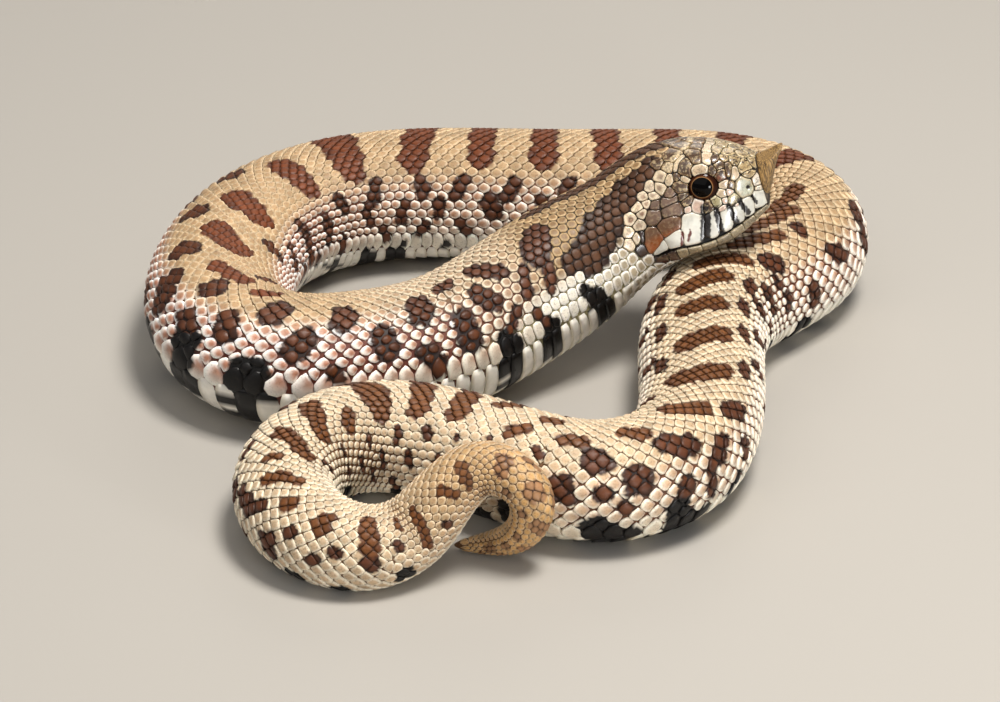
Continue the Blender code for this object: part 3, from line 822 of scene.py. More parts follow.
# %% The head's shields
# Group, then seeds: a dot's back, angle and radius, or a line's two ends and radius, mm and degrees.
SHIELDS = [
    ("lip", [(1.0, 93, 1.2, 108, 0.75), (2.7, 98, 3.0, 110, 0.85), (4.2, 100, 4.6, 110, 0.9),
             (6.1, 100, 6.6, 110, 0.95), (8.1, 100, 8.7, 110, 0.95), (11.4, 98, 12.0, 110, 1.6),
             (15.4, 107, 16.4, 111, 1.45), (19.8, 111, 20.8, 113, 0.95)]),
    ("cream", [(9.5, 51, 7.8, 53, 0.75), (5.5, 71, 5.5, 73, 0.6), (6.0, 80, 6.0, 81, 0.55),
               (11.1, 61, 0.5), (3.4, 53, 3.6, 63, 0.38), (7.1, 26, 7.0, 39, 0.55),
               (7.2, 9, 7.1, 19, 0.5), (11.0, 31, 11.9, 42, 0.55), (13.5, 54, 0.6)]),
    ("brown", [(6.6, 54.5, 0.7), (5.4, 58, 5.7, 64, 0.75), (8.6, 91, 0.6), (11.7, 82, 0.6),
               (12.1, 76.5, 0.6), (12.0, 67, 12.0, 69, 0.85), (12.1, 56, 0.45), (4.5, 74, 0.45),
               (4.1, 47, 4.3, 57, 0.5), (6.0, 36, 6.0, 37, 0.6), (5.5, 46.5, 5.5, 47.5, 0.75),
               (9.2, 22, 9.0, 34, 0.85), (10.6, 40, 10.4, 47, 1.3), (12.6, 22, 12.6, 26, 1.2),
               (13.2, 38, 0.9), (8.6, 11, 8.8, 12, 0.9), (11.0, 9, 11.3, 10, 1.1), (14.7, 31, 0.85)]),
    ("temporal", [(17.5, 72, 0.9), (13.2, 75, 15.8, 75, 0.5), (13.7, 69.5, 0.65),
                  (18.4, 80, 18.7, 80, 1.25), (13.6, 83.5, 15.4, 83, 1.1)]),
    ("worm", [(1.5, 60, 1.6, 61, 0.75), (1.6, 46, 1.7, 48, 1.05), (3.1, 35, 3.1, 37, 0.8),
              (4.5, 34, 0.5), (0.7, 36, 0.7, 38, 0.65), (3.9, 18, 4.0, 20, 0.85),
              (2.0, 14, 2.0, 16, 0.9), (5.6, 12, 5.7, 16, 0.75)]),
    ("olive", [(7.0, 88, 0.62), (4.6, 89, 0.72)]),
    ("pink", [(10.0, 89.5, 10.1, 89.5, 0.85), (11.6, 88, 0.45), (5.0, 80, 0.4), (6.0, 87.5, 0.32),
              (6.4, 94.5, 6.5, 94.5, 0.4), (4.3, 95.5, 4.4, 95.5, 0.4)]),
    ("ringed", [(14.6, 48, 0.85), (15.5, 58, 0.8)]),
    ("nasal", [(2.5, 76, 2.5, 80, 1.35)]),
    ("white", [(0.7, 72, 0.7, 74, 0.7), (0.7, 84, 0.5)]),
    ("rust", [(15.2, 92, 16.6, 95, 1.5), (20.8, 97, 21.7, 103, 1.35)]),
    ("blackish", [(23.2, 88, 23.6, 94, 0.4), (24.4, 101, 24.6, 103, 0.6)]),
    # The last two lower labials are maroon pigment, darkened further as painted shadow under the lip.
    ("maroon", [(18.4, 124, 18.4, 131, 1.2), (21.2, 123, 21.2, 127, 0.9)]),
    ("chin", [(1.4, 124, 1.4, 130, 0.8), (3.3, 124, 3.3, 132, 0.85), (5.3, 124, 5.3, 132, 0.9),
              (7.4, 124, 7.4, 132, 0.95), (9.7, 124, 9.7, 132, 1.0), (12.3, 124, 12.3, 132, 1.1),
              (15.2, 124, 15.2, 132, 1.2), (3.0, 166, 6.8, 163, 1.2), (9.5, 166, 13.0, 164, 1.1)]),
]
MEDIAN_SHIELDS = [
    ("worm", [(1.0, 0, 1.2, 0, 0.8), (3.0, 0, 3.2, 0, 0.9), (5.0, 0, 5.2, 0, 0.8)]),
    ("cream", [(6.7, 0, 6.8, 0, 0.55)]),
    ("brown", [(8.7, 0, 9.8, 0, 0.8), (12.6, 0, 13.2, 0, 0.9)]),
    ("chin", [(0.7, 180, 0.8, 180, 0.9)]),
]
# The cream band behind the cheek, two scales wide.
BAND = [("band", [(*place, 0.8) for place in (
    (17.1, 61.5), (18.9, 65.5), (20.6, 71.5), (22.5, 79.5), (24.0, 89.5), (17.0, 54.5),
    (18.8, 58.5), (20.7, 64.5), (23.2, 71), (25.0, 80.5), (26.2, 89))])]
groups, seeds = [], []
for table, sides in ((SHIELDS, (-1, 1)), (MEDIAN_SHIELDS, (1,)), (BAND, (-1, 1))):
    for group, places in table:
        for *ends, radius in places:
            a, b, c, d = ends if len(ends) == 4 else ends * 2
            groups += [group] * len(sides)
            seeds += [(a, side * b, c, side * d, radius) for side in sides]
groups = np.array(groups)
print(len(seeds), "head shields")

# %% [markdown]
# ## Rows of body scales
# Behind the head the scales stand in rows along the body, each row set half a scale back from its
# neighbours, like bricks. They are small on the back and grow towards the belly. Rows are dropped
# as the tail thins, so every stretch of the body has its own number of rows.

# %% The body's rows
# Angles of the tall lowest row, of the row above it and of the belly plates' edge, degrees.
LOW_ROW, UPPER_ROWS, BELLY_EDGE = 116.5, 104, 126.5
TALL = 5  # degrees, half the length of the lowest row's seeds
ROW_STRETCHES = [(12, 60, 27), (60, 335, 31), (335, 388, 27), (388, 412, 23), (412, 434, 19), (434, 458, 13)]
# Where the body is flattened against the ground, the belly plates reach higher up the sides.
RAISED = [(0, 1), (28, 1), (42, 0.92), (62, 0.87), (80, 0.81), (130, 0.8), (165, 0.94), (220, 1), (459, 1)]
PITCH = [(0, 1.5), (14, 1.6), (30, 1.75), (60, 2.1), (90, 2.25), (140, 2.2), (200, 2.1), (330, 2.0),
         (395, 1.65), (425, 1.35), (459, 1.0)]  # mm from one scale to the next along a row
# Where the rows begin behind the head's shields: angle, back.
HAIRLINE = [(0, 13.4), (30, 14.4), (44, 15.2), (52, 17.6), (62, 21), (72, 25.2), (84, 27.2),
            (94, 27.8), (100, 25.4), (112, 24.2), (117, 23.4), (122, 23.3), (134, 22.4), (138, 2.2),
            (156, 14.5), (180, 14.5)]
CHIN_ROWS, CHIN_END, CHIN_MIDDLE_END = range(136, 181, 9), 30, 26  # degrees, mm
phase = np.concatenate([[0], np.cumsum(np.diff(S) / from_table(PITCH, S[1:]))])
rows = []
for start, stop, count in ROW_STRETCHES:
    last = count // 2
    for j in range(-last, last + 1):
        t = abs(j) / (last - 1)
        turn = UPPER_ROWS * (0.76 * t + 0.24 * t * t) if abs(j) < last else LOW_ROW
        tall = TALL if abs(j) == last else 0
        places = np.interp(np.arange(math.ceil(phase[0]), phase[-1]) + 0.5 * (j % 2), phase, S)
        places = places[(places >= start) & (places < stop) & (places > from_table(HAIRLINE, turn))]
        for place, raised in zip(places, from_table(RAISED, places)):
            rows.append((place, math.copysign(turn, j) * raised, tall * smooth(place, 40, 62)))
for turn in CHIN_ROWS:
    for side in (-1, 1):
        places = np.interp(np.arange(0, 40) + 0.5 * ((turn // 9) % 2), phase, S)
        places = places[places < (CHIN_END if turn < 150 else CHIN_MIDDLE_END)]
        places = places[places > from_table(HAIRLINE, turn)]
        rows += [(place, side * turn, 0) for place in places]
rows = np.array(rows)
rows[:, 0] += rng.normal(0, 0.04, len(rows)) * (1 + 2.5 * looseness(rows[:, 0], rows[:, 1]))
rows[:, 1] += rng.normal(0, 0.2, len(rows)) * (1 + 2.5 * looseness(rows[:, 0], rows[:, 1]))
held = read(SHEET, rows[:, 0], rows[:, 1])
free = np.ones(len(rows), bool)
for a, b, c, d, radius in seeds:
    ends = read(SHEET, np.array([a, c]), np.array([b, d]))
    free &= (line_distance(held, *ends) > radius + 0.55) | (rows[:, 0] > 40)
rows = rows[free]
shield_count = len(seeds)
seeds += [(a, b - tall, a, b + tall, 0.36 * from_table(PITCH, a)) for a, b, tall in rows]
seeds = np.array(seeds)
back_of = (seeds[:, 0] + seeds[:, 2]) / 2
print(len(rows), "body scales")

# %% [markdown]
# ## The shape of one scale
# A body scale is rooted at its front edge and free at its back, so it tilts up towards the tail and
# slightly covers the next. A low keel runs down its middle. Head shields lie flat and meet edge to
# edge. Both are low domes closed underneath, with a skirt that goes down into the skin, so no gap
# shows from any side.

# %% Building scales
SKIRT_DEPTH = SKIN_DEPTH + 0.22  # mm, into the skin
SKIRT_OUT = 1.06  # on the unrolled skin, how far the skirt lies outside the rim
PATCH = 0.003  # across, a body scale on the unrolled skin
HEAD_SPAN, ROUND_SPAN = 40.0, 430  # mm and degrees that the head's unrolled shields are spread over


def ring_and_spokes(levels, spokes):
    """Level and direction of a scale's points: its middle, then each ring."""
    theta = np.tile(np.arange(spokes) * 2 * math.pi / spokes, len(levels))
    return np.concatenate([[0], np.repeat(levels, spokes)]), np.concatenate([[0], theta])


def with_middle(middle, around):
    """One row for each scale: its middle, then its rings."""
    return np.concatenate([middle[:, None], around.reshape(len(middle), -1)], 1)


def build_scales(name, chosen, spokes, rings, shape, paint, groove, patch):
    """One piece of many domes. Shape is how they stretch and how high they are, and paint colours them."""
    stretch, height_of = shape
    spread, back, turn, long, wide = grow(seeds, chosen, spokes, groove)
    count, spoke = len(chosen), np.arange(spokes)
    theta = spoke * 2 * math.pi / spokes
    levels = np.array(list(rings) + [1.0, 0.985])
    r = stretch(spread, theta, back, turn)[:, None] * levels[None, :, None]
    one_back, one_turn = back[:, None, None], turn[:, None, None]
    at_back = one_back + r * np.cos(theta) / long[:, None, None]
    at_turn = one_turn + r * np.sin(theta) / wide[:, None, None]
    height = height_of(levels[None, :, None], theta[None, None], r, one_back, one_turn)
    height = np.broadcast_to(height, r.shape).copy()
    height[:, -1] = -SKIRT_DEPTH
    none = np.zeros((1, 1, 1))
    middle = on_skin(back, turn, height_of(none, none, r[:, :1, :1] * 0, one_back, one_turn)[:, 0, 0])
    points = np.concatenate([middle[:, None], on_skin(at_back, at_turn, height).reshape(count, -1, 3)], 1)
    after = np.roll(spoke, -1)
    cap = np.stack([np.zeros(spokes, int), 1 + spoke, 1 + after], 1)
    quads = []
    for k in range(len(levels) - 1):
        low, high = 1 + k * spokes, 1 + (k + 1) * spokes
        quads.append(np.stack([low + spoke, high + spoke, high + after, low + after], 1))
    bottom = (1 + (len(levels) - 1) * spokes + spoke)[::-1][None]
    base = np.arange(count)[:, None, None] * (1 + len(levels) * spokes)
    faces = [(base + kind).reshape(-1, kind.shape[1]) for kind in (cap, np.concatenate(quads), bottom)]
    if patch:
        flat_level, flat_theta = ring_and_spokes([*levels[:-1], SKIRT_OUT], spokes)
        away = np.stack([np.cos(flat_theta), np.sin(flat_theta)], 1) * flat_level[:, None] * patch / 2
        uv = np.stack([back / LENGTH, np.mod(turn + 180, 360) / 360], 1)[:, None] + away[None]
    else:
        skirt = np.where(levels == levels[-1], SKIRT_OUT, 1.0)[None, :, None]
        out = with_middle(back, one_back + (at_back - one_back) * skirt) / HEAD_SPAN
        over = with_middle(turn, one_turn + (at_turn - one_turn) * skirt) / ROUND_SPAN + 0.5
        uv = np.stack([out, over], 2)
    undersides = np.arange(count) + len(faces[0]) + len(faces[1])
    colours = paint(levels, with_middle(back, at_back), with_middle(turn, at_turn), spokes)
    return make_piece(
        name, points.reshape(-1, 3), faces, colours.reshape(-1, 4), uv.reshape(-1, 2), undersides
    )


print("scales reach", round(SKIRT_DEPTH, 2), "mm down")

# %% [markdown]
# ## Body scales
# On the neck and back the scales lie close, with fine dark lines between them. On the flanks of a
# snake that has drawn itself into a coil the skin is stretched, so the scales stand apart, swollen
# and pale, with rust-red skin between.


# %% Body scales
def body_stretch(spread, theta, back, turn):
    """A longer tip where the skin is loose, and a wider gap."""
    loose = looseness(back, turn)[:, None]
    rear, front = np.maximum(np.cos(theta), 0) ** 2, np.maximum(-np.cos(theta), 0) ** 2
    tip = 1 + 0.14 * rear + loose * (0.2 * rear + 0.02 * front)
    return np.maximum(spread * tip - 0.15 * loose, spread * 0.6)


def body_height(level, theta, r, back, turn):
    """Tilt, dome, keel and the rounded rim, mm over the true outline."""
    loose, rear = looseness(back, turn), np.cos(theta)
    small = 1 - 0.45 * smooth(back, 380, 450)
    keel = smooth(back, 34, 60) * fall(side_of(turn), 74, 100) * (1 - 0.5 * smooth(back, 420, 455))
    tilt = (0.05 + 0.09 * smooth(back, 30, 60) + 0.08 * loose) * small
    dome = (0.05 + 0.17 * loose) * small
    ridge = np.exp(-((np.abs(r * np.sin(theta)) / 0.14) ** 2)) * fall(level, 0.8, 1.0)
    top = -0.12 * small + tilt * (level * rear) + dome * (1 - level**2) + 0.08 * keel * ridge
    return top - 0.10 * small * smooth(level, 0.86, 1.0) * (1 - 0.5 * np.maximum(rear, 0))


def body_paint(levels, back, turn, spokes):
    """Pale rims, rusty roots where the skin is loose, a small difference from scale to scale, and painted
    shade on the skirt.
    """
    loose = looseness(back[:, 0], turn[:, 0])[:, None]
    level, theta = ring_and_spokes(levels, spokes)
    rear = (level * np.cos(theta))[None]
    share = smooth(level + 0.3 * loose * rear, 0.5 - 0.15 * loose, 0.95 - 0.15 * loose)
    root = loose * smooth(-rear, 0.25, 0.9) * 0.7 * fall(side_of(turn[:, :1]), 100, 112)
    light = np.broadcast_to(rng.normal(1, 0.07, len(back))[:, None], back.shape)
    colour, plain = scale_colours(back, turn, share, root, light)
    # Painted shade: the skirt, which goes down into the groove, is darkened.
    colour[:, -spokes:] *= 0.4
    return with_alpha(colour, (0.3 + 0.5 * plain) * (1 - 0.5 * loose))


NECK_END, VENT = 62, 395  # mm
NECK_GROOVE, BODY_GROOVE = 0.13, 0.08  # mm
stretches = {
    "neck_scales": (0, NECK_END), "trunk_scales_1": (NECK_END, 135), "trunk_scales_2": (135, 222),
    "trunk_scales_3": (222, 310), "trunk_scales_4": (310, VENT), "tail_scales": (VENT, LENGTH),
}
pieces = {}
body = np.arange(shield_count, len(seeds))
for name, (start, stop) in stretches.items():
    chosen = body[(back_of[body] >= start) & (back_of[body] < stop)]
    groove = NECK_GROOVE if name == "neck_scales" else BODY_GROOVE
    shape = (body_stretch, body_height)
    pieces[name] = build_scales(name, chosen, 12, (0.5, 0.84), shape, body_paint, groove, PATCH)

# %% [markdown]
# ## Belly plates
# Along the belly lie wide plates, one for each scale of the lowest row, that overlap like roof slates
# and grip the ground. Their ends turn up at the sides, where they show as tall white plates. Behind
# the vent they stand in pairs.

# %% Belly plates
PLATE_ROWS, PLATE_COLUMNS = 5, 23


def build_plates(name, plates, paint):
    """Curved plates, each from (middle back, pitch, first angle, last angle)."""
    middle, size, first, last = np.array(plates, float).T[:, :, None, None]
    lengthways, sideways = np.linspace(-1, 1, PLATE_ROWS), np.linspace(-1, 1, PLATE_COLUMNS)
    grid_a, grid_b = np.meshgrid(lengthways, sideways, indexing="ij")
    back = middle + grid_a * (size * 0.6) * (1 - np.abs(grid_b) ** 7 * 0.3)
    back = back + size * 0.06 * (1 - grid_b**2)
    turn = (first + last) / 2 + grid_b * ((last - first) / 2)
    height = -0.14 + 0.17 * grid_a - 0.06 * (np.abs(grid_a) > 0.99) - 0.10 * np.abs(grid_b) ** 8
    held = np.clip(back, 0.1, LENGTH - 0.1)
    top = on_skin(held, turn, np.broadcast_to(height, back.shape))
    low = on_skin(held, turn, np.full(back.shape, -SKIN_DEPTH - 0.2))
    count, inner = len(plates), PLATE_ROWS * PLATE_COLUMNS
    index = np.arange(inner).reshape(PLATE_ROWS, PLATE_COLUMNS)
    edge = np.concatenate([index[0], index[1:, -1], index[-1, -2::-1], index[-2:0:-1, 0]])
    points = np.concatenate([top.reshape(count, inner, 3), low.reshape(count, inner, 3)], 1)
    quads = np.stack([index[:-1, :-1], index[1:, :-1], index[1:, 1:], index[:-1, 1:]], 2).reshape(-1, 4)
    wall = np.stack([edge, np.roll(edge, -1), np.roll(edge, -1) + inner, edge + inner], 1)
    faces = np.concatenate([quads, quads[:, ::-1] + inner, wall])
    base = np.arange(count)[:, None, None] * inner * 2
    colours = paint(np.broadcast_to(middle, back.shape), turn, np.broadcast_to(grid_a, back.shape))
    # Painted shade: the undersides, and the walls down to them, are darker copies of the tops.
    colours = np.concatenate([colours, colours * [0.4, 0.4, 0.4, 1]], 1)
    patch = np.stack([grid_a.ravel(), grid_b.ravel()], 1) * 0.0014
    root = np.stack([middle / LENGTH, np.mod((first + last) / 2, 360) / 360], -1).reshape(count, 1, 2)
    uv = root + np.concatenate([patch, patch * 1.08])[None]
    undersides = (np.arange(count)[:, None] * len(faces) + np.arange(len(quads), 2 * len(quads))).ravel()
    return make_piece(
        name, points.reshape(-1, 3), [(base + faces).reshape(-1, 4)],
        colours.reshape(-1, 4), uv.reshape(-1, 2), undersides,
    )


def plate_paint(middle, turn, grid_a):
    """Whole black bars on white, and a slightly darker free edge."""
    out, _ = marking(middle, turn)
    place = middle.ravel()
    low = mixed(CREAM_RIM, WHITE_RIM, (place < 300) * 1.0)
    low = mixed(low, TAIL_TAN, 0.5 * smooth(place, 395, 450))
    colour = np.where((out < 1)[:, None], MARK_TONES[BLACK][0], low)
    colour = mixed(colour, colour * [0.80, 0.76, 0.66], 0.8 * smooth(grid_a.ravel(), 0.55, 1.0))
    return with_alpha(colour).reshape(len(middle), -1, 4)


places = np.interp(np.arange(math.ceil(np.interp(24, S, phase)), int(phase[-1]) - 1), phase, S)
plates = []
for place in places:
    size, edge = from_table(PITCH, place), BELLY_EDGE * from_table(RAISED, place) + 1.5
    if place < VENT:
        plates.append((place, size, edge, 360 - edge))
    else:
        plates += [(place, size, edge, 179.2), (place, size, 180.8, 360 - edge)]
pieces["belly_plates"] = build_plates("belly_plates", plates, plate_paint)
print(len(plates), "belly and tail plates")

# %% [markdown]
# ## Head shields
# The shields use the same growth rule with more spokes and rings, because each is seen on its own.
# Their colours follow the animal: a brown mask with cream bars across the crown and before the
# eye, rust on the last temporals, and black bars across the white lip. Painted shade darkens each
# shield's edge and the shields below the lip.

# %% Colours of the shields
SHIELD_TONES = {  # middle, rim, speckle
    "lip": ("CFCEC4", "CCC8BA", 0.0), "cream": ("BFA88A", "E2D4B8", 0.4),
    "brown": ("4E3826", "846848", 0.75), "temporal": ("6A5242", "5A4434", 0.25),
    "worm": ("9E875F", "C4B088", 1.0), "olive": ("A0966E", "D2C8A4", 0.9),
    "pink": ("CBAE9C", "E8DCCC", 0.2), "ringed": ("80624C", "DCC8A8", 0.2),
    "nasal": ("B6B8A4", "C4B698", 0.35), "white": ("E2DACA", "D4C4AC", 0.6),
    "rust": ("5C3C22", "6A4A30", 0.2), "blackish": ("2A1710", "1E100B", 0.0),
    # Chin: tan-grey darkened as painted shade under the lip. Maroon: pigment with painted shadow.
    "chin": ("8C7E64", "A0947A", 0.4), "maroon": ("3E2018", "27120D", 0.2),
    "band": ("90705A", "DECCB0", 0.4),
}
RIMMED = ["band", "ringed"]  # a wide pale rim, and a middle that differs from shield to shield
BARRED = ["lip", "pink", "brown", "olive"]
BLEND = 0.65  # how far a rimmed shield's middle may turn towards its rim
LIGHT_SEED, BLEND_SEED = 7, 8
# A pale mottled band across the crown, and thin red bars: back and angle of both ends, half width, mm.
CROWN_BAND = [(10.0, 0, 10.5, 18, 0.5), (10.5, 18, 12.2, 34, 0.6), (12.2, 34, 13.8, 46, 0.75),
              (13.2, 12, 16.5, 18, 0.4)]
RED_BARS = [(13.6, 104, 14.9, 119, 0.28), (12.1, 104, 12.9, 111, 0.2)]


def stroke_share(back, turn, strokes):
    """1 inside the strokes, 0 outside, with a soft edge."""
    share, side = np.zeros(back.shape), np.abs(turn)
    wide = 0.0108 * (7 + 0.25 * np.clip(back, 0, 14))
    for a, b, c, d, r in strokes:
        x, y = back - a, (side - b) * wide
        dx, dy = c - a, (d - b) * wide
        t = np.clip((x * dx + y * dy) / (dx * dx + dy * dy), 0, 1)
        away = np.hypot(x - t * dx, y - t * dy)
        rough = 0.05 * np.sin(side * 1.3 + a * 3) + 0.03 * np.sin(side * 2.9 + back * 3)
        share = np.maximum(share, fall(away + rough, r - 0.04, r + 0.04))
    return share


def shield_paint_for(kinds):
    """A paint that knows which kind each shield is."""
    def of(*names):
        """1 for the shields of these kinds."""
        return np.isin(kinds, names)[:, None]

    def paint(levels, back, turn, spokes):
        """Rims and tones by kind with painted shade at the edges, then the strokes that cross from shield to
        shield.
        """
        middle, rim = (np.array([linear(SHIELD_TONES[kind][k]) for kind in kinds]) for k in (0, 1))
        speckle = np.array([SHIELD_TONES[kind][2] for kind in kinds])[:, None]
        light = np.random.default_rng(LIGHT_SEED).normal(1, 0.1, len(kinds))[:, None]
        blend = np.random.default_rng(BLEND_SEED).uniform(0, BLEND, len(kinds))[:, None]
        middle, rim = middle * light, rim * light
        middle = middle + (rim - middle) * blend * of(*RIMMED)
        share = smooth((levels - np.where(of(*RIMMED), 0.3, 0.62)) / 0.3, 0, 1)
        ring = mixed(middle[:, None], rim[:, None], share)
        # Painted shade in the grooves: the rim and the skirt are darker, less so along the lip and chin.
        ring[:, -2] *= np.where(of("lip", "chin"), 0.9, 0.6)
        ring[:, -1] *= np.where(of("lip", "chin"), 0.6, 0.3)
        colour = np.concatenate([middle[:, None], np.repeat(ring, spokes, axis=1)], 1)
        side = side_of(turn)
        mottled = 0.62 + 0.38 * np.sin(back * 9 + turn * 0.5) * np.sin(back * 4 - turn * 0.8 + 1)
        crown = stroke_share(back, turn, CROWN_BAND) * mottled * of("brown", "cream")
        before_eye = smooth(side, 58, 64) * (back > 4.6) * (back < 6.6) * (side < 67)
        for code, share in (
            ("140C09", stroke_share(back, turn, LIP_BARS) * of(*BARRED)),
            ("5A2014", stroke_share(back, turn, RED_BARS) * of(*BARRED)),
            ("D6C29C", crown),
            ("96480F", smooth(side, 94, 103) * of("rust") * 0.75),
            ("7E4018", before_eye * 0.8),
        ):
            colour = mixed(colour, linear(code), share)
        return with_alpha(colour, speckle)
    return paint


print(len(SHIELD_TONES), "kinds of shield")


# %% The shields
def shield_height(level, theta, r, back, turn):
    """A low dome with a rounded rim, which is shallower along the lip."""
    side = side_of(turn)
    lipped = (side > 93) * (side < LIP) * (back < 22)
    return 0.02 + 0.05 * (1 - level**2) - (0.16 - 0.1 * lipped) * smooth(level, 0.88, 1.0)


def unstretched(spread, theta, back, turn):
    """A shield keeps the outline it grew into."""
    return spread


CROWN_RINGS = (0.16, 0.3, 0.44, 0.57, 0.69, 0.8, 0.9)
LIP_RINGS = tuple(np.arange(1, 14) / 14)
along_lip = np.isin(groups, ["lip", "chin", "maroon"])
for name, chosen, spokes, rings, groove in (
    ("head_shields", np.flatnonzero(~along_lip), 30, CROWN_RINGS, 0.075),
    ("lip_shields", np.flatnonzero(along_lip), 60, LIP_RINGS, 0.04),
):
    shape, paint = (unstretched, shield_height), shield_paint_for(groups[chosen])
    pieces[name] = build_scales(name, chosen, spokes, rings, shape, paint, groove, 0)

# %% [markdown]
# ## The nostril
# The nostril is a round pit in the nasal shield. The shield's own points are pressed in there, so the
# hole is real and no separate piece is needed. Its colour is darkened there too, as painted shade.

# %% The nostrils
NOSTRIL = (2.05, 79.5)  # back and angle
# Radius and depth of the pit, mm, and the share of painted shade at its middle.
NOSTRIL_RADIUS, NOSTRIL_DEPTH, NOSTRIL_PAINTED_SHADE = 0.42, 0.5, 0.75


def numbers_of(items, key, width):
    """A property of many small things as rows of numbers."""
    values = np.empty(len(items) * width, np.float32)
    items.foreach_get(key, values)
    return values.reshape(-1, width)


data = pieces["head_shields"].data
carried = data.color_attributes["markings"].data
places, paint = numbers_of(data.vertices, "co", 3) / MM, numbers_of(carried, "color", 4)
for side in (-1, 1):
    pit, out = (read(sheet, NOSTRIL[0], side * NOSTRIL[1]) for sheet in (SHEET, OUT))
    away = np.linalg.norm(places - pit, axis=1) / NOSTRIL_RADIUS
    places -= fall(away, 0.5, 1.5)[:, None] * out * NOSTRIL_DEPTH
    # Painted shade: the colour is darkened towards the pit's middle.
    paint[:, :3] *= (1 - NOSTRIL_PAINTED_SHADE * fall(away, 0.4, 1.1))[:, None]
data.vertices.foreach_set("co", (places * MM).ravel())
carried.foreach_set("color", paint.ravel())
data.update()
print("nostrils pressed in", NOSTRIL_DEPTH, "mm")

# %% [markdown]
# ## The rostral shield
# The hognose digs with its snout. The shield on its tip is drawn forward and up into a keeled shovel.
# It is a smooth tapering form, so it starts as a filled circle that is extruded forward ring by ring,
# each ring scaled and raised, as one would by hand.


# %% Working on a whole form
def edit_whole(obj):
    """Opens a form for editing with everything selected."""
    bpy.context.view_layer.objects.active = obj
    bpy.ops.object.mode_set(mode="EDIT")
    bpy.ops.mesh.select_all(action="SELECT")


def place_points(obj, points, layer, own_places):
    """Moves a finished form's points to these places, mm, turns it outwards, and keeps its own places."""
    obj.data.vertices.foreach_set("co", (points * MM).astype(np.float32).ravel())
    edit_whole(obj)
    bpy.ops.mesh.normals_make_consistent(inside=False)
    bpy.ops.object.mode_set(mode="OBJECT")
    obj.data.shade_smooth()
    kept = obj.data.attributes.new(layer, "FLOAT_VECTOR", "POINT")
    kept.data.foreach_set("vector", own_places.astype(np.float32).ravel())
    bpy.ops.object.select_all(action="DESELECT")


print("forms can be set in place along", np.round(snout_way, 2))

# %% The rostral shield
# Forward of the snout, top, bottom and half width, mm.
ROSTRAL = [(-0.5, 4.6, -2.7, 2.95), (0.35, 4.6, -2.3, 3.0), (1.1, 4.7, -0.9, 3.0), (2.1, 4.85, 1.3, 2.75),
           (3.1, 5.1, 3.2, 2.2), (3.9, 5.3, 4.3, 1.5), (4.5, 5.4, 4.9, 0.6)]
KEEL_RISE, KEEL_WIDTH = 0.22, 0.5
HOLLOW_DEPTH, HOLLOW_PLACE, HOLLOW_WIDTH = 0.18, 1.3, 0.7  # beside the keel, mm

ahead, top, bottom, half = ROSTRAL[0]
bpy.ops.mesh.primitive_circle_add(vertices=32, radius=1, fill_type="NGON", location=(0, 0, 0))
rostral = bpy.context.object
rostral.name = rostral.data.name = "rostral_shield"
edit_whole(rostral)
bpy.ops.transform.resize(value=(half * MM, (top - bottom) / 2 * MM, 1))
bpy.ops.transform.translate(value=(0, (top + bottom) / 2 * MM, ahead * MM))
for before, (ahead, top, bottom, half) in zip(ROSTRAL, ROSTRAL[1:]):
    rise = (top + bottom) / 2 - (before[1] + before[2]) / 2
    grown = (half / before[3], (top - bottom) / (before[1] - before[2]), 1)
    move = (0, rise * MM, (ahead - before[0]) * MM)
    bpy.ops.mesh.extrude_region_move(TRANSFORM_OT_translate={"value": move})
    bpy.ops.transform.resize(value=grown, center_override=(0, (top + bottom) / 2 * MM, ahead * MM))
bpy.ops.mesh.select_all(action="SELECT")
bpy.ops.mesh.normals_make_consistent(inside=False)
bpy.ops.object.mode_set(mode="OBJECT")
smoothing = rostral.modifiers.new("smoothing", "SUBSURF")
smoothing.levels = smoothing.render_levels = 2
bpy.ops.object.modifier_apply(modifier="smoothing")
form = numbers_of(rostral.data.vertices, "co", 3).astype(float) / MM
keel = KEEL_RISE * np.exp(-((form[:, 0] / KEEL_WIDTH) ** 2))
hollow = HOLLOW_DEPTH * np.exp(-(((np.abs(form[:, 0]) - HOLLOW_PLACE) / HOLLOW_WIDTH) ** 2))
form[:, 1] += smooth(form[:, 1], 3.4, 4.4) * (keel - hollow)
place_points(rostral, PLACE[0] + form @ np.stack([SIDE[0], UP[0], snout_way]), "across", form)
pieces["rostral_shield"] = rostral
print("rostral shield:", len(rostral.data.polygons), "faces")

# %% [markdown]
# ## The eyes
# A snake has no eyelids. A clear scale, the spectacle, covers a dark eye with a round pupil and a
# thin gold ring. Each eye starts as a sphere whose pole looks outwards, flattened to a lens, so its
# rings run round the pupil.

# %% The eyes
for name, (centre, out, forward, over) in eyes.items():
    bpy.ops.mesh.primitive_uv_sphere_add(segments=48, ring_count=32, radius=1, location=(0, 0, 0))
    eye = bpy.context.object
    eye.name = eye.data.name = "detailed_" + name
    edit_whole(eye)
    bpy.ops.transform.resize(value=(EYE_RADIUS * MM, EYE_RADIUS * MM, EYE_THICKNESS * MM))
    bpy.ops.object.mode_set(mode="OBJECT")
    ball = numbers_of(eye.data.vertices, "co", 3).astype(float) / MM
    place_points(eye, centre + ball @ np.stack([forward, over, out]), "gaze", ball)
    pieces[eye.name] = eye
print("each eyeball is", 2 * EYE_RADIUS, "mm across")

# %% [markdown]
# ## Materials
# Keratin is the same stuff as a fingernail: it reflects light at its surface like a clear varnish, with an
# index of refraction of about 1.55, and lets a little light in. How rough it is tells a keeled back scale
# from a polished lip shield. One small function adds a node with its settings and links, and a few more
# name the steps that every finish uses: noise of a real size, a stretched range, a tint and a relief.


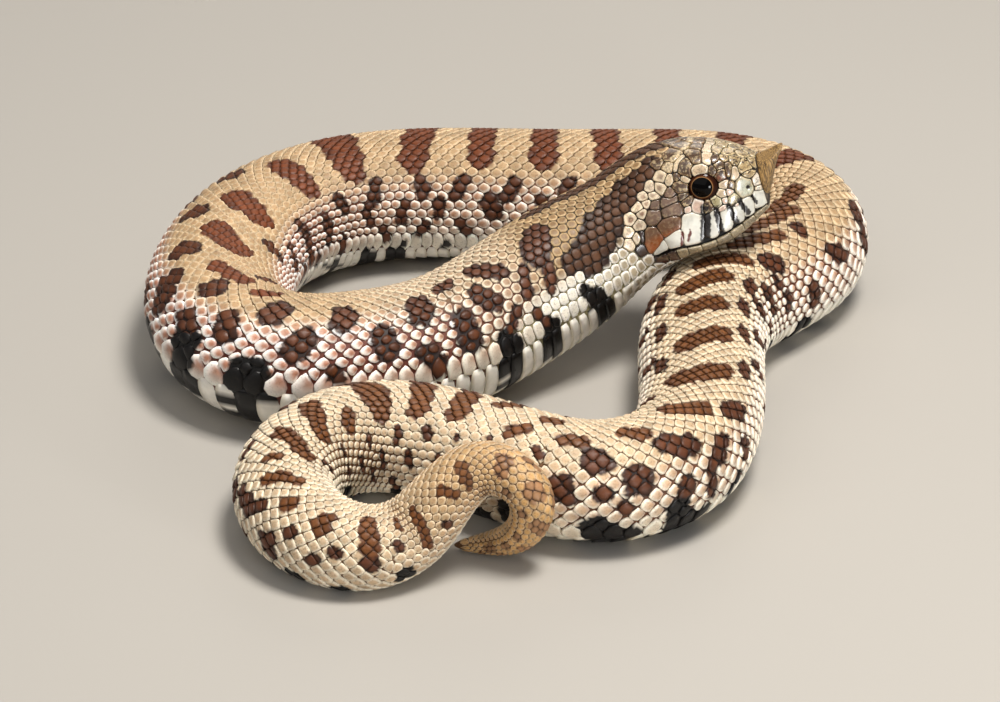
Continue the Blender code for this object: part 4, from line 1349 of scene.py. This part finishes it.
# %% Node helpers
def add(tree, kind, inputs=None, **settings):
    """Adds a node. An input is a value, or another node's output to link."""
    new = tree.nodes.new("ShaderNode" + kind)
    for key, value in settings.items():
        setattr(new, key, value)
    for key, value in (inputs or {}).items():
        if isinstance(value, bpy.types.NodeSocket):
            tree.links.new(value, new.inputs[key])
        else:
            new.inputs[key].default_value = value
    return new


def new_material(name, **settings):
    """A material, its node tree and its shader, which starts with these settings."""
    material = bpy.data.materials.new(name)
    material.use_nodes = True
    shader = material.node_tree.nodes["Principled BSDF"]
    for key, value in settings.items():
        shader.inputs[key.replace("_", " ")].default_value = value
    return material, material.node_tree, shader


KERATIN = {
    "IOR": 1.55, "Subsurface_Weight": 0.05, "Subsurface_Radius": (0.0009, 0.0005, 0.0003),
    "Subsurface_Scale": 1.0,
}
print("keratin bends light by", KERATIN["IOR"])


# %% Steps that the finishes share
def object_place(tree):
    """The place of each point in the scene, in metres."""
    return add(tree, "TexCoord").outputs["Object"]


def carried_colour(tree):
    """The colour and the speckle that the mesh carries."""
    carried = add(tree, "VertexColor", layer_name="markings")
    return carried.outputs["Color"], carried.outputs["Alpha"]


def noise(tree, place, size, detail, **inputs):
    """Noise with features of this size in mm, as coordinates are in metres."""
    inputs |= {"Vector": place, "Scale": 1 / (size * MM), "Detail": detail}
    return add(tree, "TexNoise", inputs).outputs["Fac"]


def ranged(tree, value, low, high, to_low, to_high):
    """A value's range stretched to another one."""
    limits = {"From Min": low, "From Max": high, "To Min": to_low, "To Max": to_high}
    return add(tree, "MapRange", {"Value": value, **limits}).outputs["Result"]


def calculate(tree, operation, first, second=0.5):
    """One sum with two values."""
    return add(tree, "Math", {0: first, 1: second}, operation=operation).outputs[0]


def tint(tree, colour, amount, code):
    """A colour turned towards another one by this amount."""
    both = {"Factor": amount, 6: colour, 7: (*linear(code), 1)}
    return add(tree, "Mix", both, data_type="RGBA").outputs[2]


def base_colour(tree, shader, colour, cloud, low, high):
    """Gives the shader a colour whose lightness varies with the cloud between low and high."""
    light = ranged(tree, cloud, 0.3, 0.7, low, high)
    varied = add(tree, "VectorMath", {0: colour, 1: light}, operation="MULTIPLY").outputs[0]
    tree.links.new(varied, shader.inputs["Base Color"])


def roughness(tree, shader, cloud, low, high):
    """Lets the roughness vary with the cloud between low and high."""
    tree.links.new(ranged(tree, cloud, 0.3, 0.7, low, high), shader.inputs["Roughness"])


def relief(tree, shader, height, strength, depth):
    """Fine relief of this depth, mm."""
    bump = add(tree, "Bump", {"Height": height, "Strength": strength, "Distance": depth * MM})
    tree.links.new(bump.outputs["Normal"], shader.inputs["Normal"])


print("noise of 1 mm has a scale of", 1 / MM)

# %% [markdown]
# ### Keeled scales
# Fine growth lines and a dusting of brown specks break up each back and flank scale. Roughness
# varies from scale to scale, which makes the gloss sparkle instead of running in one streak.


# %% Keeled scales
def scale_material(name, rough, speck_size, speck_share, strength):
    """Keratin with brown specks of this size in mm, and fine relief of this strength."""
    material, tree, shader = new_material(name, Specular_IOR_Level=0.28, **KERATIN)
    place, (colour, speckle) = object_place(tree), carried_colour(tree)
    specks = ranged(tree, noise(tree, place, speck_size, 3.0), 0.54, 0.68, 0.0, speck_share)
    colour = tint(tree, colour, calculate(tree, "MULTIPLY", specks, speckle), "4A3020")
    patches = noise(tree, place, 2.2, 2.0)
    base_colour(tree, shader, colour, patches, 0.86, 1.1)
    roughness(tree, shader, patches, rough - 0.08, rough + 0.1)
    relief(tree, shader, noise(tree, place, 0.22, 2.0), strength, 0.06)
    return material


keeled = scale_material("keeled_keratin_scales", 0.46, 0.30, 0.55, 0.45)
smooth_plates = scale_material("smooth_belly_keratin", 0.34, 0.6, 0.2, 0.2)
print("scale materials ready")

# %% [markdown]
# ### Head shields
# Shields are polished smooth. Some on the snout are covered in fine wormy dark lines: a noise
# texture sliced where it passes its middle value gives lines like these, and the markings say which
# shields have them.

# %% Polished shields
POLISH = {"Subsurface_Radius": (0.0008, 0.0004, 0.0003), "Coat_Weight": 0.6, "Coat_Roughness": 0.14}
shield_keratin, tree, shader = new_material("polished_keratin_shields", **(KERATIN | POLISH))
place, (colour, speckle) = object_place(tree), carried_colour(tree)
winding = noise(tree, place, 0.8, 1.5, Distortion=0.8)
off_middle = calculate(tree, "ABSOLUTE", calculate(tree, "SUBTRACT", winding))
worms = ranged(tree, off_middle, 0.018, 0.045, 0.95, 0.0)
pale_spots = ranged(tree, noise(tree, place, 0.55, 2.0), 0.53, 0.6, 0.0, 0.75)
colour = tint(tree, colour, calculate(tree, "MULTIPLY", pale_spots, speckle), "CDB88E")
colour = tint(tree, colour, calculate(tree, "MULTIPLY", worms, speckle), "2E1D12")
cloud = noise(tree, place, 1.6, 3.0)
base_colour(tree, shader, colour, cloud, 0.8, 1.12)
roughness(tree, shader, cloud, 0.24, 0.38)
relief(tree, shader, noise(tree, place, 0.3, 2.0), 0.3, 0.06)
print("shield material ready")

# %% [markdown]
# ### Skin, horn and eye
# The soft skin between scales is matt. The rostral shovel is worn horn with fine scratches from
# digging. The eye is a clear, wet-looking dome: a clear coat gives the sharp highlight, and the
# pupil, gold ring and dark iris are drawn by distance from the middle of the gaze.

# %% Skin
skin_material, tree, shader = new_material("matt_folded_skin", Roughness=0.62)
place, (colour, speckle) = object_place(tree), carried_colour(tree)
folds = noise(tree, place, 0.4, 3.0)
base_colour(tree, shader, colour, folds, 0.8, 1.15)
relief(tree, shader, folds, 0.5, 0.1)
print("skin material ready")


# %% Horn
def ramp(tree, shader, value, first, last, *between):
    """Gives the shader colours along a value, each as its place and hex code."""
    shades = add(tree, "ValToRGB", {"Fac": value})
    stops = shades.color_ramp.elements
    for stop, (position, code) in zip(stops, (first, last)):
        stop.position, stop.color = position, (*linear(code), 1)
    for position, code in between:
        stops.new(position).color = (*linear(code), 1)
    tree.links.new(shades.outputs["Color"], shader.inputs["Base Color"])


horn, tree, shader = new_material("worn_horn", Roughness=0.5, IOR=KERATIN["IOR"])
across = add(tree, "Attribute", attribute_name="across").outputs["Vector"]
drawn_out = add(tree, "Mapping", {"Vector": across, "Scale": (5.5, 0.45, 5.0)}).outputs[0]
scratches = add(tree, "TexNoise", {"Vector": drawn_out, "Scale": 1.0, "Detail": 4.0}).outputs["Fac"]
ramp(tree, shader, scratches, (0.36, "453015"), (0.64, "A98650"))
relief(tree, shader, scratches, 0.6, 0.15)
print("horn material ready")

# %% Eye
PUPIL, GOLD, IRIS, EYE_REACH = 1.64, 1.78, 2.12, 3.0  # mm, outer radii, and the radius where the ramp ends
PUPIL_SHIFT = (-0.24, 0.02, 0.0)  # mm, towards the rear
SPECTACLE = {"Coat_Weight": 0.6, "Coat_Roughness": 0.0, "Coat_IOR": 1.3}
eye_material, tree, shader = new_material(
    "spectacle_over_dark_iris", Roughness=0.4, Specular_IOR_Level=0.0, **SPECTACLE
)
gaze = add(tree, "Attribute", attribute_name="gaze").outputs["Vector"]
moved = add(tree, "VectorMath", {0: gaze, 1: PUPIL_SHIFT}, operation="SUBTRACT").outputs[0]
level = add(tree, "VectorMath", {0: moved, 1: (1, 1, 0)}, operation="MULTIPLY").outputs[0]
radius = add(tree, "VectorMath", {0: level}, operation="LENGTH").outputs["Value"]
zone = ranged(tree, radius, 0.0, EYE_REACH, 0.0, 1.0)
ramp(
    tree, shader, zone, (0.0, "030202"), (1.0, "080504"), (PUPIL / EYE_REACH, "040303"),
    (PUPIL / EYE_REACH + 0.01, "8E6C48"), (GOLD / EYE_REACH, "6E4828"),
    (GOLD / EYE_REACH + 0.02, "3E2010"), (IRIS / EYE_REACH, "28130B"),
)
print("eye material ready")

# %% [markdown]
# ## Putting it together
# Every piece is given its material and tied to the one still body, and the solids it stands for are hidden.

# %% Materials and ties
finishes = {
    "belly_plates": (smooth_plates, "pale_scales"), "head_shields": (shield_keratin, "patterned_scales"),
    "lip_shields": (shield_keratin, "pale_scales"), "rostral_shield": (horn, "horn"),
    "detailed_eye_right": (eye_material, "eye"), "detailed_eye_left": (eye_material, "eye"),
    "skin": (skin_material, "patterned_scales"),
}
pieces["skin"] = skin
for name, piece in pieces.items():
    material, slot = finishes.get(name, (keeled, "patterned_scales"))
    piece.data.materials.clear()
    piece.data.materials.append(material)
    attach(piece, "root")
flesh = [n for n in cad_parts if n.startswith(("head", "lower_jaw", "neck_", "trunk_", "tail_"))]
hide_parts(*flesh)
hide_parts("rostral_scale")
for name in eyes:
    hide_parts(name)
print(len(pieces), "pieces stand for", len(flesh) + 3, "solids")

# %% [markdown]
# ## Floor and light
# A plain pale floor and four lights: a warm key from above, a wide fill from the viewer's side that
# keeps the shadows open, a low rim from behind, and a small light that only the eye mirrors.

# %% Floor
bpy.ops.mesh.primitive_plane_add(size=6, location=(0, 0, 0))
floor = bpy.context.object
floor.name = "floor"
floor_material, tree, shader = new_material(
    "pale_floor", Roughness=0.9, Base_Color=(*linear("A9A59E"), 1)
)
floor.data.materials.append(floor_material)
print("floor laid")


# %% Lights
def soft_light(name, place, aim, size, watts, code):
    """A square light of this size in metres, which looks from its place to its aim."""
    bpy.ops.object.light_add(type="AREA", location=place)
    lamp = bpy.context.object
    lamp.name = name
    lamp.data.size = size
    lamp.data.energy = watts
    lamp.data.color = linear(code)
    x, y, z = np.array(aim) - np.array(place)
    lamp.rotation_euler = (math.atan2(math.hypot(x, y), -z), 0, math.atan2(y, x) - math.pi / 2)


COIL = (0, -0.01, 0.01)
soft_light("key", (0.14, -0.10, 0.62), COIL, 0.18, 4.9, "FFFAF4")
soft_light("fill", (-0.2, -0.42, 0.70), COIL, 1.3, 3.2, "FFFAF4")
soft_light("rim", (0.05, 0.6, 0.4), COIL, 0.4, 1.0, "FFF8EE")
print("key, fill and rim lights hung")

# %% A glint in the eye
# A small light stands where the eye's own curve mirrors it to the viewer.
GLINT = np.array([1.0, 0.1])  # mm from the middle of the eye, forward and up
GLINT_DISTANCE = 0.35
centre, out, forward, over = eyes["eye_right"]
rise = EYE_THICKNESS * math.sqrt(1 - (GLINT**2).sum() / EYE_RADIUS**2)
lean = EYE_THICKNESS**2 / EYE_RADIUS**2 / rise
aside = GLINT @ np.stack([forward, over])
normal = unit(out + aside * lean)
mirror = (centre + aside + out * rise) * MM
to_viewer = unit(np.array(camera.location) - mirror)
glint_place = mirror + (2 * normal * normal.dot(to_viewer) - to_viewer) * GLINT_DISTANCE
soft_light("glint", tuple(glint_place), tuple(mirror), 0.06, 0.4, "FFFFFF")
print("glint light stands at, mm:", np.round(glint_place / MM))

# %% The sky around
world = bpy.data.worlds.new("studio")
bpy.context.scene.world = world
world.use_nodes = True
sky = world.node_tree.nodes["Background"]
sky.inputs["Color"].default_value = (*linear("EEF0F4"), 1)
sky.inputs["Strength"].default_value = 0.24
bpy.context.scene.view_settings.view_transform = "Standard"
print("the sky's strength is", round(sky.inputs["Strength"].default_value, 2))

# %% [markdown]
# ## The end
# The dressed animal must be the size of its solid model.

# %% Finished
print("the dressed snake is finished")
